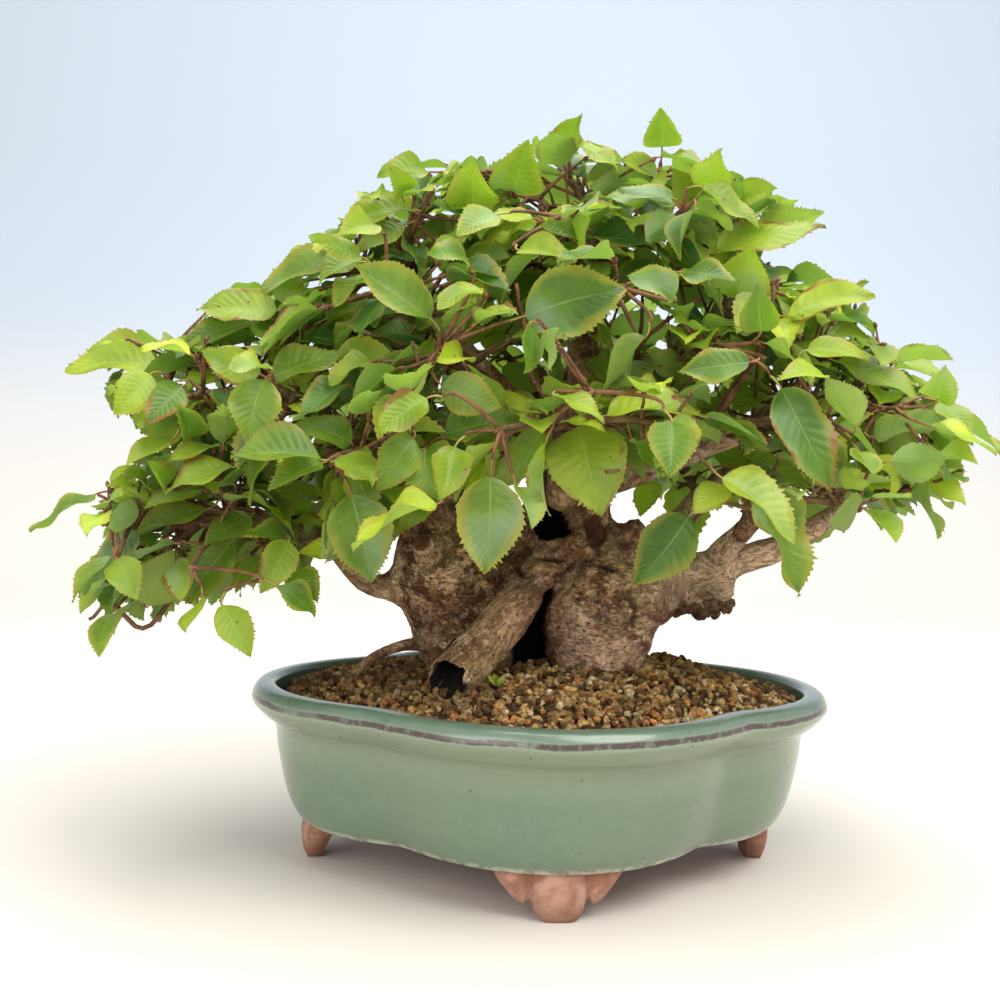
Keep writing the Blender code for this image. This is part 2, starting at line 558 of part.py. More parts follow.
def make_wood(parts, finish):
    """Root base and trunks melted into one mass, with the limbs joined on."""
    masses = [tube_object(name, rounded_run(stations(limb)), MASS_ROUNDNESS, parts)
              for name, limb in MASSES.items()]
    trunk = masses[0]
    trunk.name = "wood"
    united(trunk, masses[1:], [], "MANIFOLD")
    melt = trunk.modifiers.new("melt", "REMESH")
    melt.mode = "VOXEL"
    melt.voxel_size = MELT_SIZE
    settle = trunk.modifiers.new("settle", "SMOOTH")
    settle.factor = SETTLE_FACTOR
    settle.iterations = SETTLE_TIMES
    thin = trunk.modifiers.new("thin", "DECIMATE")
    thin.ratio = THIN_TO
    trunk.data = evaluated_mesh(trunk)
    trunk.modifiers.clear()
    limbs = [tube_object(name, stations(limb), LIMB_ROUNDNESS, parts)
             for name, limb in LIMBS.items()]
    united(trunk, limbs, [hollow_cutter(parts)], "MANIFOLD")
    trunk.data.materials.clear()
    trunk.data.materials.append(finish)
    smooth(trunk)
    return trunk


def hollow_cutter(into):
    """The rotted-out end of the old root in front."""
    end, along = along_limb(MASSES["front_root"], HOLLOW_SHARE)
    toward = (along + Vector(HOLLOW_LEAN)).normalized()
    run = [(end - toward * HOLLOW_DEPTH, HOLLOW_RADIUS * HOLLOW_END_SHARE), (end, HOLLOW_RADIUS),
           (end + toward * HOLLOW_CUT, HOLLOW_RADIUS * HOLLOW_MOUTH_SHARE)]
    return tube_object("hollow", run, 2, into)


def spray_twigs(wood):
    """For each spray the run of its twig, which starts just clear of the wood that carries it."""
    surface = BVHTree.FromPolygons([v.co for v in wood.data.vertices],
                                   [tuple(p.vertices) for p in wood.data.polygons])
    runs = {}
    for name, (limb, share, tip) in SPRAYS.items():
        at, along = along_limb(LIMBS[limb], share)
        tip = millimetres(tip)
        lean = END_TWIG_LEAN if share == 1.0 else SIDE_TWIG_LEAN
        first = ((tip - at).normalized() + along * lean).normalized()
        reach = 0
        while True:
            run = twig_run(at + first * reach, first, tip)
            grown = [(run[0][0] - first * GAP, run[0][1] + GAP), *[(p, r + GAP) for p, r in run]]
            if not surface.overlap(BVHTree.FromPolygons(*prism(grown))):
                break
            reach += STEP_OUT
        runs[name] = run
    return runs


def twig_run(root, first, tip):
    """A twig that leaves along its stub and curves to its tip."""
    reach = (tip - root).length
    bend = root + first * reach * TWIG_BEND
    run = []
    for k in range(TWIG_PARTS + 1):
        t = k / TWIG_PARTS
        at = root.lerp(bend, t).lerp(bend.lerp(tip, t), t)
        run.append((at, TWIG_RADIUS + (TWIG_TIP_RADIUS - TWIG_RADIUS) * t))
    return run


def leaf(foot, base, tip, facing, width, thickness=LEAF_THICKNESS, grow=1.0):
    """Points and faces of one leaf: a folded, drooping blade cut with teeth, on its stalk."""
    along = tip - base
    length = along.length
    along.normalize()
    side = along.cross(facing).normalized()
    up = side.cross(along)
    droop = length * LEAF_DROOP

    def spot(share, out):
        lift = abs(out) * LEAF_FOLD - droop * (share * share - share * LEAF_ARCH)
        return base + along * length * share + side * out + up * lift

    half = width * length / 2 * grow
    neck = side * STALK_RADIUS
    edge = [base - neck]
    edge += [spot(share, -half * part) for share, part in LEAF_SIDE]
    edge += [spot(grow, 0)]
    edge += [spot(share, half * part) for share, part in reversed(LEAF_SIDE)]
    edge += [base + neck, spot(LEAF_MIDDLE, 0)]
    count = len(edge)
    middle = count - 1
    right = middle - 1
    sheet = [(k, k + 1, middle) for k in range(right)] + [(right, 0, middle)]
    lift = up * thickness / 2
    points = [p + lift for p in edge] + [p - lift for p in edge]
    faces = sheet + [(a + count, c + count, b + count) for a, b, c in sheet]
    for a in range(right):
        faces += [(a + 1, a, a + count), (a + 1, a + count, a + 1 + count)]
    rings = [[right, 0, count, right + count]]
    for ring in stalk_rings(foot, base, along, side):
        rings.append(list(range(len(points), len(points) + len(ring))))
        points += ring
    for near, far in zip(rings, rings[1:]):
        for i in range(4):
            j = (i + 1) % 4
            faces += [(near[i], near[j], far[j]), (near[i], far[j], far[i])]
    faces.append(tuple(reversed(rings[-1])))
    return points, faces


def stalk_rings(foot, base, along, side):
    """The elbow close behind the blade, and the stalk's foot on its twig."""
    if (foot - base).length < STALK_RADIUS:
        return []
    elbow = base - along * STALK_ELBOW
    run = (elbow - foot).normalized()
    rings = []
    for at, axis in ((elbow, (run + along).normalized()), (foot, run)):
        side = (side - axis * side.dot(axis)).normalized()
        over = side.cross(axis)
        rings.append([at + (side * x + over * z) * STALK_RADIUS
                      for x, z in ((1, STALK_FLATNESS), (-1, STALK_FLATNESS), (-1, -STALK_FLATNESS),
                                   (1, -STALK_FLATNESS))])
    return rings


def prism(run):
    """Points and faces of a square tube round a run, for testing what it would touch."""
    rings = []
    for k, (at, radius) in enumerate(run):
        along = (run[min(k + 1, len(run) - 1)][0] - run[max(k - 1, 0)][0]).normalized()
        side = along.cross(Vector((0.2, 0.3, 1))).normalized() * radius
        over = side.cross(along)
        rings.append([at + side, at + over, at - side, at - over])
    return lofted(rings)


def stalk(foot, base):
    """Points and faces of the room that a stalk takes, from just off its twig to the blade."""
    start = foot + (base - foot).normalized() * STALK_START
    return prism([(start, STALK_BERTH), (base, STALK_BERTH)])


class Crowd:
    """What the leaves have to stay clear of."""

    def __init__(self):
        self.trees = []

    def add(self, owner, points, faces):
        middle = sum(points, Vector()) / len(points)
        reach = max((p - middle).length for p in points)
        self.trees.append((owner, middle, reach, BVHTree.FromPolygons(points, faces)))

    def hit(self, owner, points, faces):
        middle = sum(points, Vector()) / len(points)
        reach = max((p - middle).length for p in points)
        tree = BVHTree.FromPolygons(points, faces)
        for other, at, far, known in self.trees:
            if other != owner and (at - middle).length < far + reach and tree.overlap(known):
                return True
        return False


def near_wood(points, margin):
    for limb in (*MASSES.values(), *LIMBS.values()):
        run = stations(limb)
        for (a, ra), (b, rb) in zip(run, run[1:]):
            ab = b - a
            for p in points:
                t = min(max((p - a).dot(ab) / ab.length_squared, 0), 1)
                if (p - a.lerp(b, t)).length < ra + (rb - ra) * t + margin:
                    return True
    return False


def leaf_choice(rng, run, index, attempt):
    """Foot, base, tip and facing of the next leaf to try on a twig."""
    share = 1 - index / LEAVES_PER_SPRAY * TWIG_SHARE_WITH_LEAVES
    share = min(max(share + rng.uniform(*LEAF_SHIFT), LEAF_LOWEST_SHARE), LEAF_HIGHEST_SHARE)
    place = share * (len(run) - 1)
    k = min(int(place), len(run) - 2)
    foot = run[k][0].lerp(run[k + 1][0], place - k)
    along = (run[k + 1][0] - run[k][0]).normalized()
    outward = Vector((foot.x, foot.y * OUTWARD_DEPTH, 0)).normalized()
    side = along.cross(Vector((0, 0, 1))).normalized() * (1 if index % 2 else -1)
    if index == 0:
        swing = rng.uniform(*END_LEAF_SWING) + SWING_STEP * attempt * (1 if attempt % 2 else -1)
    else:
        swing = rng.uniform(*SIDE_LEAF_SWING) + SWING_STEP * attempt
    heading = along * math.cos(swing) + side * math.sin(swing) + outward * OUTWARD_PULL
    depth = max(0, (DROOP_TOP - foot.z) / DROOP_RANGE)
    heading.z -= rng.uniform(*HANG) * (TOP_HANG_SHARE + depth / 2)
    heading.normalize()
    rise = (heading + along / 2 + Vector((0, 0, 0.5))).normalized()
    base = foot + rise * STALK_LENGTH * rng.uniform(*STALK_VARIATION)
    length = rng.uniform(*LEAF_LENGTHS) * (1 - SHRINK_STEP * attempt)
    facing = Vector((0, 0, 1)) + outward * FACING_OUT
    facing += Vector([rng.uniform(-1, 1) * FACING_SCATTER for _ in range(3)])
    return foot, base, base + heading * length, facing


def nearest_on(run, place):
    """The point of a twig that is nearest to a place."""
    best = None
    for (a, _), (b, _) in zip(run, run[1:]):
        ab = b - a
        t = min(max((place - a).dot(ab) / ab.length_squared, 0), TWIG_HOLD)
        spot = a.lerp(b, t)
        if best is None or (spot - place).length < (best - place).length:
            best = spot
    return best


def sight(x, y):
    """Direction from the viewpoint through a place on the sheet."""
    turn = Matrix.Rotation(-VIEW_HEADING, 3, "Z")
    turn = turn @ Matrix.Rotation(math.radians(90) + VIEW_PITCH, 3, "X")
    turn = turn @ Matrix.Rotation(VIEW_ROLL, 3, "Z")
    return (turn @ Vector((x - SHEET / 2, SHEET / 2 - y, -VIEW_LENGTH))).normalized()


def seen_blade(seen, shows_back, distance):
    """Base, tip, facing and width of a seen leaf whose base lies this far from the viewpoint."""
    x, y, tip_x, tip_y, wide = seen
    eye, toward = millimetres(VIEWPOINT), -sight(x, y)
    base = eye - toward * distance
    unit = distance / VIEW_LENGTH
    across, wide = math.hypot(tip_x - x, tip_y - y) * unit, wide * unit
    length = max(across, wide / SEEN_WIDEST, SEEN_LEAST_LENGTH)
    nearer = min(math.sqrt(length * length - across * across) * SEEN_LEAN, SEEN_MOST_LEAN)
    tip = eye + sight(tip_x, tip_y) * (distance - nearer)
    length = (tip - base).length
    along = (tip - base).normalized()
    sideways = along.cross(toward).normalized()
    depth = along.cross(sideways)
    width = min(max(wide, length * SEEN_NARROWEST), length)
    share = min(wide / width, 1)
    rest = math.sqrt(1 - share * share)
    best = None
    for a, b in ((1, 1), (1, -1), (-1, 1), (-1, -1)):
        facing = (sideways * share * a + depth * rest * b).cross(along).normalized()
        shown = facing.dot(toward) * (-1 if shows_back else 1) > -0.05
        if best is None or (shown, facing.z) > best[:2]:
            best = (shown, facing.z, facing)
    return base, tip, best[2], width / length


def twigs_behind(seen, runs, held):
    """The free sprays whose twigs pass nearest behind a seen leaf's base, with their distance."""
    eye, ahead = millimetres(VIEWPOINT), sight(seen[0], seen[1])
    found = []
    for name, run in runs.items():
        if len(held[name]) >= SEEN_PER_SPRAY:
            continue
        costs = []
        for k in range(TWIG_SAMPLES):
            place = k / (TWIG_SAMPLES - 1) * (len(run) - 1)
            first = min(int(place), len(run) - 2)
            spot = run[first][0].lerp(run[first + 1][0], place - first)
            distance = (spot - eye).dot(ahead)
            off = (eye + ahead * distance - spot).length
            costs.append((off + FRONT_PULL * (spot.y + FRONT), distance))
        cost, distance = min(costs)
        found.append((cost, name, distance))
    return sorted(found)[:TWIG_CHOICES]


def seat_seen_leaf(seen, shows_back, runs, held, crowd):
    """Spray, foot, base, tip, facing and width of a seen leaf where it clears everything."""
    for _, name, distance in twigs_behind(seen, runs, held):
        for shift in SEEN_SHIFTS:
            base, tip, facing, width = seen_blade(seen, shows_back, distance - shift * MM)
            along = (tip - base).normalized()
            foot = nearest_on(runs[name], base - along * STALK_LEAD)
            reach = base - foot
            if reach.length > LONGEST_STALK or reach.normalized().dot(along) < SHARPEST_STALK:
                continue
            berth = LEAF_THICKNESS + 2 * CLEARANCE
            blade = leaf(base, base, tip, facing, width, berth, SEEN_GROWTH)
            start = min(STALK_START / reach.length, 1)
            line = [foot.lerp(base, start + (1 - start) * k / STALK_SAMPLES)
                    for k in range(STALK_SAMPLES + 1)]
            if near_wood(blade[0], WOOD_BERTH) or near_wood(line, STALK_WOOD_BERTH):
                continue
            if crowd.hit(None, *blade) or crowd.hit(name, *stalk(foot, base)):
                continue
            return name, foot, base, tip, facing, width
    return None


def place_leaves(runs):
    """Leaves for every spray, clear of the wood, of each other and of the other twigs."""
    crowd = Crowd()
    for name, run in runs.items():
        crowd.add(name, *prism([(p, r * TWIG_BERTH) for p, r in run]))
    leaves = {name: [] for name in runs}

    def keep(name, foot, base, tip, facing, width):
        leaves[name].append((foot, base, tip, facing, width))
        crowd.add(name + "_leaf", *leaf(base, base, tip, facing, width))
        crowd.add(name + "_stalk", *stalk(foot, base))

    seen = [(row, False) for row in SEEN_LEAVES] + [(row, True) for row in SEEN_BACKS]
    seen.sort(key=lambda item: -math.dist(item[0][:2], item[0][2:4]) * item[0][4])
    for row, shows_back in seen:
        if sum(len(held) for held in leaves.values()) == SEEN_LEAVES_KEPT:
            break
        seat = seat_seen_leaf(row, shows_back, runs, leaves, crowd)
        if seat:
            keep(*seat)
    for index in range(LEAVES_PER_SPRAY):
        for order, (name, run) in enumerate(runs.items()):
            if len(leaves[name]) > index:
                continue
            rng = random.Random(SEED + SEED_STRIDE * index + order)
            for attempt in range(TRIES):
                foot, base, tip, facing = leaf_choice(rng, run, index, attempt)
                berth = LEAF_THICKNESS + 2 * CLEARANCE
                blade = leaf(base, base, tip, facing, LEAF_WIDTH, berth, LEAF_BERTH_GROWTH)
                if near_wood(blade[0], WOOD_BERTH) or min(p.z for p in blade[0]) < LOWEST_LEAF:
                    continue
                if crowd.hit(None, *blade) or crowd.hit(name, *stalk(foot, base)):
                    continue
                keep(name, foot, base, tip, facing, LEAF_WIDTH)
                break
    return leaves


def make_spray(name, run, leaves, parts, finish):
    twig = tube_object(name, run, TWIG_ROUNDNESS, parts)
    blades = []
    for foot, base, tip, facing, width in leaves:
        made = mesh_object("leaf", mesh_from("leaf", *leaf(foot, base, tip, facing, width)), parts)
        facing_out(made.data)
        blades.append(made)
    united(twig, blades, [], "MANIFOLD")
    twig.data.materials.clear()
    twig.data.materials.append(finish)
    return twig


def main():
    clear_scene()
    parts = collection("korean_hornbeam_bonsai")
    finishes = {name: material(name, *look) for name, look in FINISHES.items()}
    make_pot(parts, finishes["green_glaze"])
    screens = [make_screen("drain_screen_left", -DRAIN_X, parts, finishes["screen_plastic"]),
               make_screen("drain_screen_right", DRAIN_X, parts, finishes["screen_plastic"])]
    wood = make_wood(parts, finishes["bark"])
    make_soil(parts, finishes["grit"], wood, screens)
    runs = spray_twigs(wood)
    leaves = place_leaves(runs)
    for name, run in runs.items():
        make_spray("spray_" + name, run, leaves[name], parts, finishes["foliage"])
    place = bpy.data.objects.new("place", None)
    place.location = POT_PLACE
    parts.objects.link(place)
    for part in parts.objects:
        if part != place:
            part.parent = place


main()
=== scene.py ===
"""Looks of the korean hornbeam bonsai in its four-lobed glazed pot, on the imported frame.

Every piece is shaped in millimetres from the middle of the pot, with X along the pot's long side,
Y towards the back and Z up from the surface it stands on, and is then moved to where the frame's
pot stands.
"""

import itertools
import math
import random

import bmesh
import bpy
import numpy as np
from mathutils import Matrix, Vector
from mathutils.bvhtree import BVHTree


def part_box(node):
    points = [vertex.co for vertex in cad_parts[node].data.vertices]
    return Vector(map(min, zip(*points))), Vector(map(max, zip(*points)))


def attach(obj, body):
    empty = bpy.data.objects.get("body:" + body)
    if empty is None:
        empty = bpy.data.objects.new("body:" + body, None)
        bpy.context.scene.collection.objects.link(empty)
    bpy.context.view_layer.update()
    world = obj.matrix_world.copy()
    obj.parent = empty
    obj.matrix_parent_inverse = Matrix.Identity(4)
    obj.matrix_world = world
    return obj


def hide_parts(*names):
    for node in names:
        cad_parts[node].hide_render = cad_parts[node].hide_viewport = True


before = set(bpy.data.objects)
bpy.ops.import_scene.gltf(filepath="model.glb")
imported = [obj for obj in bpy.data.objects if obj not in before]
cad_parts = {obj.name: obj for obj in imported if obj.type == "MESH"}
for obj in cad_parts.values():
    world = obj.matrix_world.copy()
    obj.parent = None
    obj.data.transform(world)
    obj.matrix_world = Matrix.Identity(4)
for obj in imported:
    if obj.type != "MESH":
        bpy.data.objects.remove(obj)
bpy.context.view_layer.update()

MM = 0.001
BODY = "root"

# The viewpoint, in millimetres from the pot's middle, and how the sheet of 1000 units a side lies.
VIEWPOINT, VIEW_LENGTH, SHEET = (-56.9, -502.7, 160.8), 1200, 1000
VIEW_HEADING, VIEW_PITCH, VIEW_ROLL = math.radians(4.28), math.radians(-1.29), math.radians(1.52)
SENSOR = 36.0

# Pot: four overlapping lobes, each an arc in plan. Insets are measured inwards from the lip.
SIDE_LOBE_CENTRE, SIDE_LOBE_RADIUS = 50, 70
FRONT_LOBE_CENTRE, FRONT_LOBE_RADIUS = 16, 87
NOTCH_SHARPNESS = 0.35
POT_SEGMENTS = 288
POT_PROFILE = (  # inset, height: up the outside, over the lip and down the inside
    (26, 17), (20, 19.5), (15, 29), (11, 46), (9.5, 57), (4, 62), (0, 67), (1.6, 72),
    (5, 73.5), (9.5, 72.5), (11.5, 64), (24, 25), (32, 23),
)
PROFILE_STEPS = 6
FOOT_COLUMNS = (  # along the foot, height of its lower edge, bulge: five rounded toes
    (-24, 15.5, 0), (-18.5, 10, 1.6), (-13.5, 6.2, 1.8), (-10.5, 7.5, 0.6), (-8.5, 3, 1.6),
    (-4.5, 0, 2.6), (4.5, 0, 2.6), (8.5, 3, 1.6), (10.5, 7.5, 0.6), (13.5, 6.2, 1.8),
    (18.5, 10, 1.6), (24, 15.5, 0),
)
FOOT_TOP, FOOT_INSET, FOOT_THICKNESS = 19, 25.5, 6.5
FOOT_STEPS, FOOT_ROWS = 6, 10
DRAIN_X, DRAIN_RADIUS = 44, 9
LIP_LINE = 62.0

# Soil: a mound of coarse grains, highest round the trunk.
SOIL_EDGE, SOIL_CROWN, SOIL_WALL_INSET, MOUND_POWER = 68.5, 82, 11, 2.2
HEAP, HEAP_REACH, HEAP_HEIGHT = (62, 34), 16, 3.5
GRAINS, GRAIN_SIZES, GRAIN_FORMS, SMALL_GRAIN = 4300, (0.9, 2.1), 14, 1.85
GRAIN_SPREAD, GRAIN_WALL_GAP, GRAIN_CELL = (104, 88), 1.2, 2.0
GRAIN_FLATNESS, GRAIN_LAYER, GRAIN_SINK, GRAIN_LIFT = ((0.7, 1), (0.6, 0.95)), 0.7, 1.0, 0.5
MOUND_TURNS, MOUND_RINGS, MOUND_WALL_GAP, MOUND_INSET = 144, 30, 1.0, 62
MOUND_DROP, MOUND_ROUGHNESS, MOUND_SWELL = 0.9, 0.7, 2.4
LEG_MOUTH_REACH = 13

# Wood: each limb is a run of stations, x, y, z and radius in millimetres.
MASSES = {
    "left_trunk": ((-25, 6, 76, 24), (-28, 6, 90, 24), (-33, 5, 104, 25), (-39, 4, 121, 25.5),
                   (-42, 4, 135, 20), (-42, 6, 148, 12)),
    "right_trunk": ((21, -1, 75, 20.5), (22, -2, 88, 20.5), (25, -2, 99, 24), (28, 0, 112, 24)),
    "centre_trunk": ((-4, 6, 100, 19), (3, 3, 120, 21), (8, 3, 138, 19.5), (11, 3, 152, 17),
                     (14, 4, 168, 13), (15, 5, 184, 10), (16, 6, 206, 7.5)),
    "back_trunk": ((0, 20, 76, 23), (0, 20, 92, 22), (2, 16, 115, 20)),
    "right_branch": ((30, 0, 108, 23), (48, -2, 115, 15), (62, -3, 120, 9.5), (79, -4, 125, 7),
                     (97, -5, 131, 6.2), (115, -4, 141, 5)),
    "front_root": ((12, -10, 132, 11), (-2, -21, 119, 10), (-20, -32, 101, 9.5),
                   (-37, -41, 83, 10), (-47, -46, 71, 10.5)),
    "burr": ((60, -5, 112, 6.5), (69, -6, 110, 7.5), (77, -6, 114, 5.5)),
    "knot": ((-48, -16, 127, 8), (-51, -20, 131, 6)),
    "left_shoulder": ((-52, 6, 113, 11), (-66, 6, 111, 6.5)),
    "right_shoulder": ((24, -1, 122, 13), (31, -2, 130, 10), (39, -3, 138, 6.5)),
}
LIMBS = {
    "left_low": ((-62, 6, 111, 6), (-76, 5, 114, 4.4), (-91, 0, 130, 3.8), (-110, -5, 137, 3.4),
                 (-131, -10, 139, 2.8), (-149, -14, 136, 2.2)),
    "left_high": ((-44, 5, 142, 9), (-57, 5, 153, 6.5), (-72, 3, 165, 5.4), (-90, 0, 179, 4.4),
                  (-108, -3, 190, 3.4), (-126, -3, 197, 2.4)),
    "upper_left": ((8, 3, 162, 9), (-10, 4, 183, 7), (-29, 2, 204, 5.4), (-48, 0, 224, 4.2),
                   (-62, -2, 241, 2.8)),
    "top": ((16, 6, 200, 7.6), (14, 4, 226, 6), (16, 2, 249, 4.6), (15, 0, 268, 3)),
    "upper_right": ((14, 5, 178, 8), (35, 4, 194, 6.4), (55, 2, 211, 5.2), (71, 0, 227, 4.2),
                    (84, 0, 242, 2.8)),
    "right_mid": ((16, 4, 157, 9), (44, 5, 166, 7), (70, 4, 176, 5.8), (97, 2, 186, 4.8),
                  (121, 0, 192, 3.6), (138, -2, 195, 2.4)),
    "right_low": ((110, -4, 138, 5.2), (124, -2, 147, 4), (137, -2, 154, 2.4)),
    "front": ((8, -6, 148, 9), (4, -26, 163, 6.2), (2, -45, 176, 4.6), (3, -60, 188, 3)),
    "front_right": ((70, -4, 124, 5.6), (78, -22, 139, 4.4), (86, -40, 152, 3)),
    "front_left": ((-42, -6, 136, 8), (-50, -26, 149, 5), (-60, -42, 159, 3.8), (-72, -50, 166, 2.6)),
    "back_left": ((-32, 14, 132, 9), (-46, 38, 153, 6), (-60, 58, 168, 4.4), (-72, 70, 178, 2.8)),
    "back": ((10, 14, 150, 9), (9, 38, 172, 6.4), (6, 58, 194, 4.8), (4, 72, 210, 3)),
    "back_right": ((42, 8, 118, 9), (62, 32, 138, 6), (80, 52, 154, 4.4), (94, 62, 165, 2.8)),
    "surface_root": ((-38, 0, 86, 4), (-52, -6, 89, 2.7), (-64, -12, 87.5, 2.2), (-74, -17, 82, 2),
                     (-81, -20, 73, 1.8)),
}
BARK_CELL, MASS_CELL, BARK_SETTLE, MASS_SETTLE, SETTLE = 1.15, 2.6, 2, 5, 0.5
MASS_SIDES, LIMB_SIDES = 20, 14
FULL_BARK, LEAST_BARK = 13, 0.12
GRAIN_STRETCH, GRAIN_SKEW, BAND_STRETCH, TRUNK_RADII = 4, (1, -1, 0.6), (0.8, 0.8, 1.9), (12, 17)
LEG_END = (-41, -43.5, 79, 9.5)
HOLE, HOLE_INWARD, HOLE_RADIUS, HOLE_DEPTH, HOLE_RAGGED = (1.5, -16, 141), (0.05, 1, -0.1), 7.8, 15, 0.22
HOLLOW, HOLLOW_INWARD, HOLLOW_RADIUS, HOLLOW_DEPTH, HOLLOW_RAGGED = (
    (-45.5, -51, 80.5), (0.5, 0.6, 0.6), 8.4, 15, 0.3)
SCAR, SCAR_REACH, SCAR_DEPTH = (20, 138), 6, 1.6
KNOT, KNOT_REACH, KNOT_RISE, KNOT_WAVE, KNOT_RINGS = (-51, -21, 131), 3.6, 1.6, 0.4, 3.4
BURR, BURR_REACH, BURR_CRUMBS = (68, -6, 108), 13, 130
MOSSY, MOSSY_REACH = (39, -3, 143), 8
CLEFT, CLEFT_DEPTH = ((0, 113, 0.8), (-3, 104, 2.6), (-5, 94, 4.6), (-5, 82, 8)), 13
CREASES, CREASE_DEPTH = (  # on the front: x, z and half width along each
    ((-3, 113, 0.7), (3, 119, 0.8), (10, 124, 0.8), (20, 125.5, 0.8), (31, 121, 0.4)),
    ((-22, 126, 0.3), (-10, 128, 0.5), (4, 127, 0.3)),
    ((-14, 121, 0.3), (-4, 122, 0.5), (6, 119, 0.3)),
    ((33, 112, 0.4), (36, 107, 0.7), (35, 100, 0.3)),
), 2.2
SKIRT_X, SKIRT_Z, SKIRT_SLOPE = 6, 112, 0.5
BAND, BAND_LENGTH, BAND_HEIGHT = 4.5, 22, 0.9

# Leafless twigs: the limb, how far along it, the places the twig passes, its radius and redness.
BARE_TWIGS = (
    ("right_mid", 0.4, ((65, -20, 183), (75, -26, 201), (83, -30, 216)), 2.2, 0.8),
    ("right_mid", 0.6, ((84, -26, 214), (101, -30, 209)), 0.9, 0.9),
    ("upper_right", 0.3, ((34, -28, 214), (56, -31, 233)), 1.2, 0.9),
    ("upper_left", 0.45, ((-44, -8, 205), (-66, -14, 212), (-87, -20, 219)), 1.8, -0.2),
    ("front", 0.85, ((-11, -47, 196), (-15, -50, 214), (-19.5, -52, 232)), 1.2, 0.9),
    ("left_high", 0.7, ((-128, -12, 180), (-152, -20, 186)), 0.9, 0.6),
    ("left_low", 0.9, ((-159, -20, 138), (-179, -22, 148)), 1.0, 0.9),
    ("left_low", 0.85, ((-158, -20, 97), (-173, -20, 105), (-182, -20, 99)), 1.2, 0.5),
    ("right_low", 1.0, ((139, -18, 166), (157, -20, 189)), 0.9, 0.7),
    ("right_low", 1.0, ((145, -18, 174), (157, -20, 181)), 0.7, 0.7),
    ("top", 0.85, ((7, -9, 262), (3, -10, 287)), 0.8, 1.0),
)
INNER_TWIGS, INNER_LENGTHS = 40, (25, 55)
SPROUT, SPROUT_TURNS, SPROUT_LENGTH = (-22, -45, 79), (0.4, 1.9, 3.0, 4.6), 6

# Sprays: the limb that carries each, how far along it the shoot starts, and where the twig ends.
SPRAYS = {
    "left_low_tip": ("left_low", 1.0, (-172, -44, 138)),
    "left_low_under": ("left_low", 0.92, (-163, -22, 112)),
    "left_low_front": ("left_low", 0.75, (-138, -48, 122)),
    "left_low_inner": ("left_low", 0.55, (-112, -46, 118)),
    "left_low_upper": ("left_low", 0.7, (-134, -34, 160)),
    "left_low_back": ("left_low", 0.8, (-158, 24, 146)),
    "left_low_rear": ("left_low", 0.5, (-118, 46, 140)),
    "left_high_tip": ("left_high", 1.0, (-164, 2, 203)),
    "left_high_front": ("left_high", 0.85, (-146, -38, 186)),
    "left_high_back": ("left_high", 0.8, (-132, 40, 204)),
    "left_high_under": ("left_high", 0.6, (-106, -52, 183)),
    "left_high_upper": ("left_high", 0.7, (-108, -10, 213)),
    "upper_left_tip": ("upper_left", 0.8, (-92, -8, 246)),
    "upper_left_front": ("upper_left", 0.7, (-68, -48, 232)),
    "upper_left_back": ("upper_left", 0.75, (-66, 42, 248)),
    "upper_left_top": ("upper_left", 1.0, (-54, -14, 264)),
    "upper_left_low": ("upper_left", 0.45, (-48, -62, 206)),
    "top_left": ("top", 0.7, (-22, -12, 284)),
    "top_tip": ("top", 1.0, (6, -6, 284)),
    "top_right": ("top", 0.8, (44, -6, 290)),
    "top_front": ("top", 0.5, (-4, -52, 258)),
    "top_back": ("top", 0.6, (32, 42, 274)),
    "top_back_left": ("top", 0.45, (-18, 46, 262)),
    "top_low": ("top", 0.25, (18, -66, 230)),
    "upper_right_tip": ("upper_right", 1.0, (72, -12, 265)),
    "upper_right_out": ("upper_right", 0.85, (99, 2, 244)),
    "upper_right_front": ("upper_right", 0.7, (82, -50, 238)),
    "upper_right_back": ("upper_right", 0.7, (82, 46, 252)),
    "upper_right_low": ("upper_right", 0.45, (56, -66, 210)),
    "upper_right_side": ("right_mid", 0.62, (112, -16, 221)),
    "right_mid_upper": ("right_mid", 0.85, (140, 8, 207)),
    "right_mid_front": ("right_mid", 0.75, (130, -50, 190)),
    "right_mid_tip": ("right_mid", 1.0, (160, -6, 190)),
    "right_mid_back": ("right_mid", 0.65, (128, 52, 202)),
    "right_mid_low": ("right_mid", 0.5, (98, -64, 184)),
    "right_low_tip": ("right_low", 1.0, (151, -20, 158)),
    "right_low_back": ("right_low", 0.7, (138, 40, 154)),
    "front_right_tip": ("front_right", 1.0, (112, -62, 150)),
    "front_right_under": ("front_right", 0.7, (70, -60, 150)),
    "front_left_tip": ("front_left", 1.0, (-86, -70, 164)),
    "front_left_low": ("front_left", 0.6, (-62, -66, 150)),
    "front_tip": ("front", 1.0, (6, -88, 190)),
    "front_left_side": ("front", 0.75, (-26, -80, 176)),
    "front_right_side": ("front", 0.8, (42, -80, 178)),
    "back_left_tip": ("back_left", 1.0, (-94, 88, 182)),
    "back_left_inner": ("back_left", 0.7, (-46, 88, 198)),
    "back_tip": ("back", 1.0, (2, 98, 216)),
    "back_upper_left": ("back", 0.7, (-34, 78, 238)),
    "back_upper_right": ("back", 0.75, (42, 78, 236)),
    "back_right_tip": ("back_right", 1.0, (112, 80, 172)),
    "back_right_inner": ("back_right", 0.7, (62, 90, 188)),
    "left_mid_front": ("left_high", 0.4, (-84, -62, 164)),
    "top_right_front": ("top", 0.6, (44, -48, 262)),
}
TWIG_RADIUS, TWIG_TIP_RADIUS = 1.9, 0.8
TWIG_PARTS, TWIG_BEND = 2, 0.45
END_TWIG_LEAN, SIDE_TWIG_LEAN = 0.9, 0.35
STEP_OUT, GAP = 0.1, 0.35

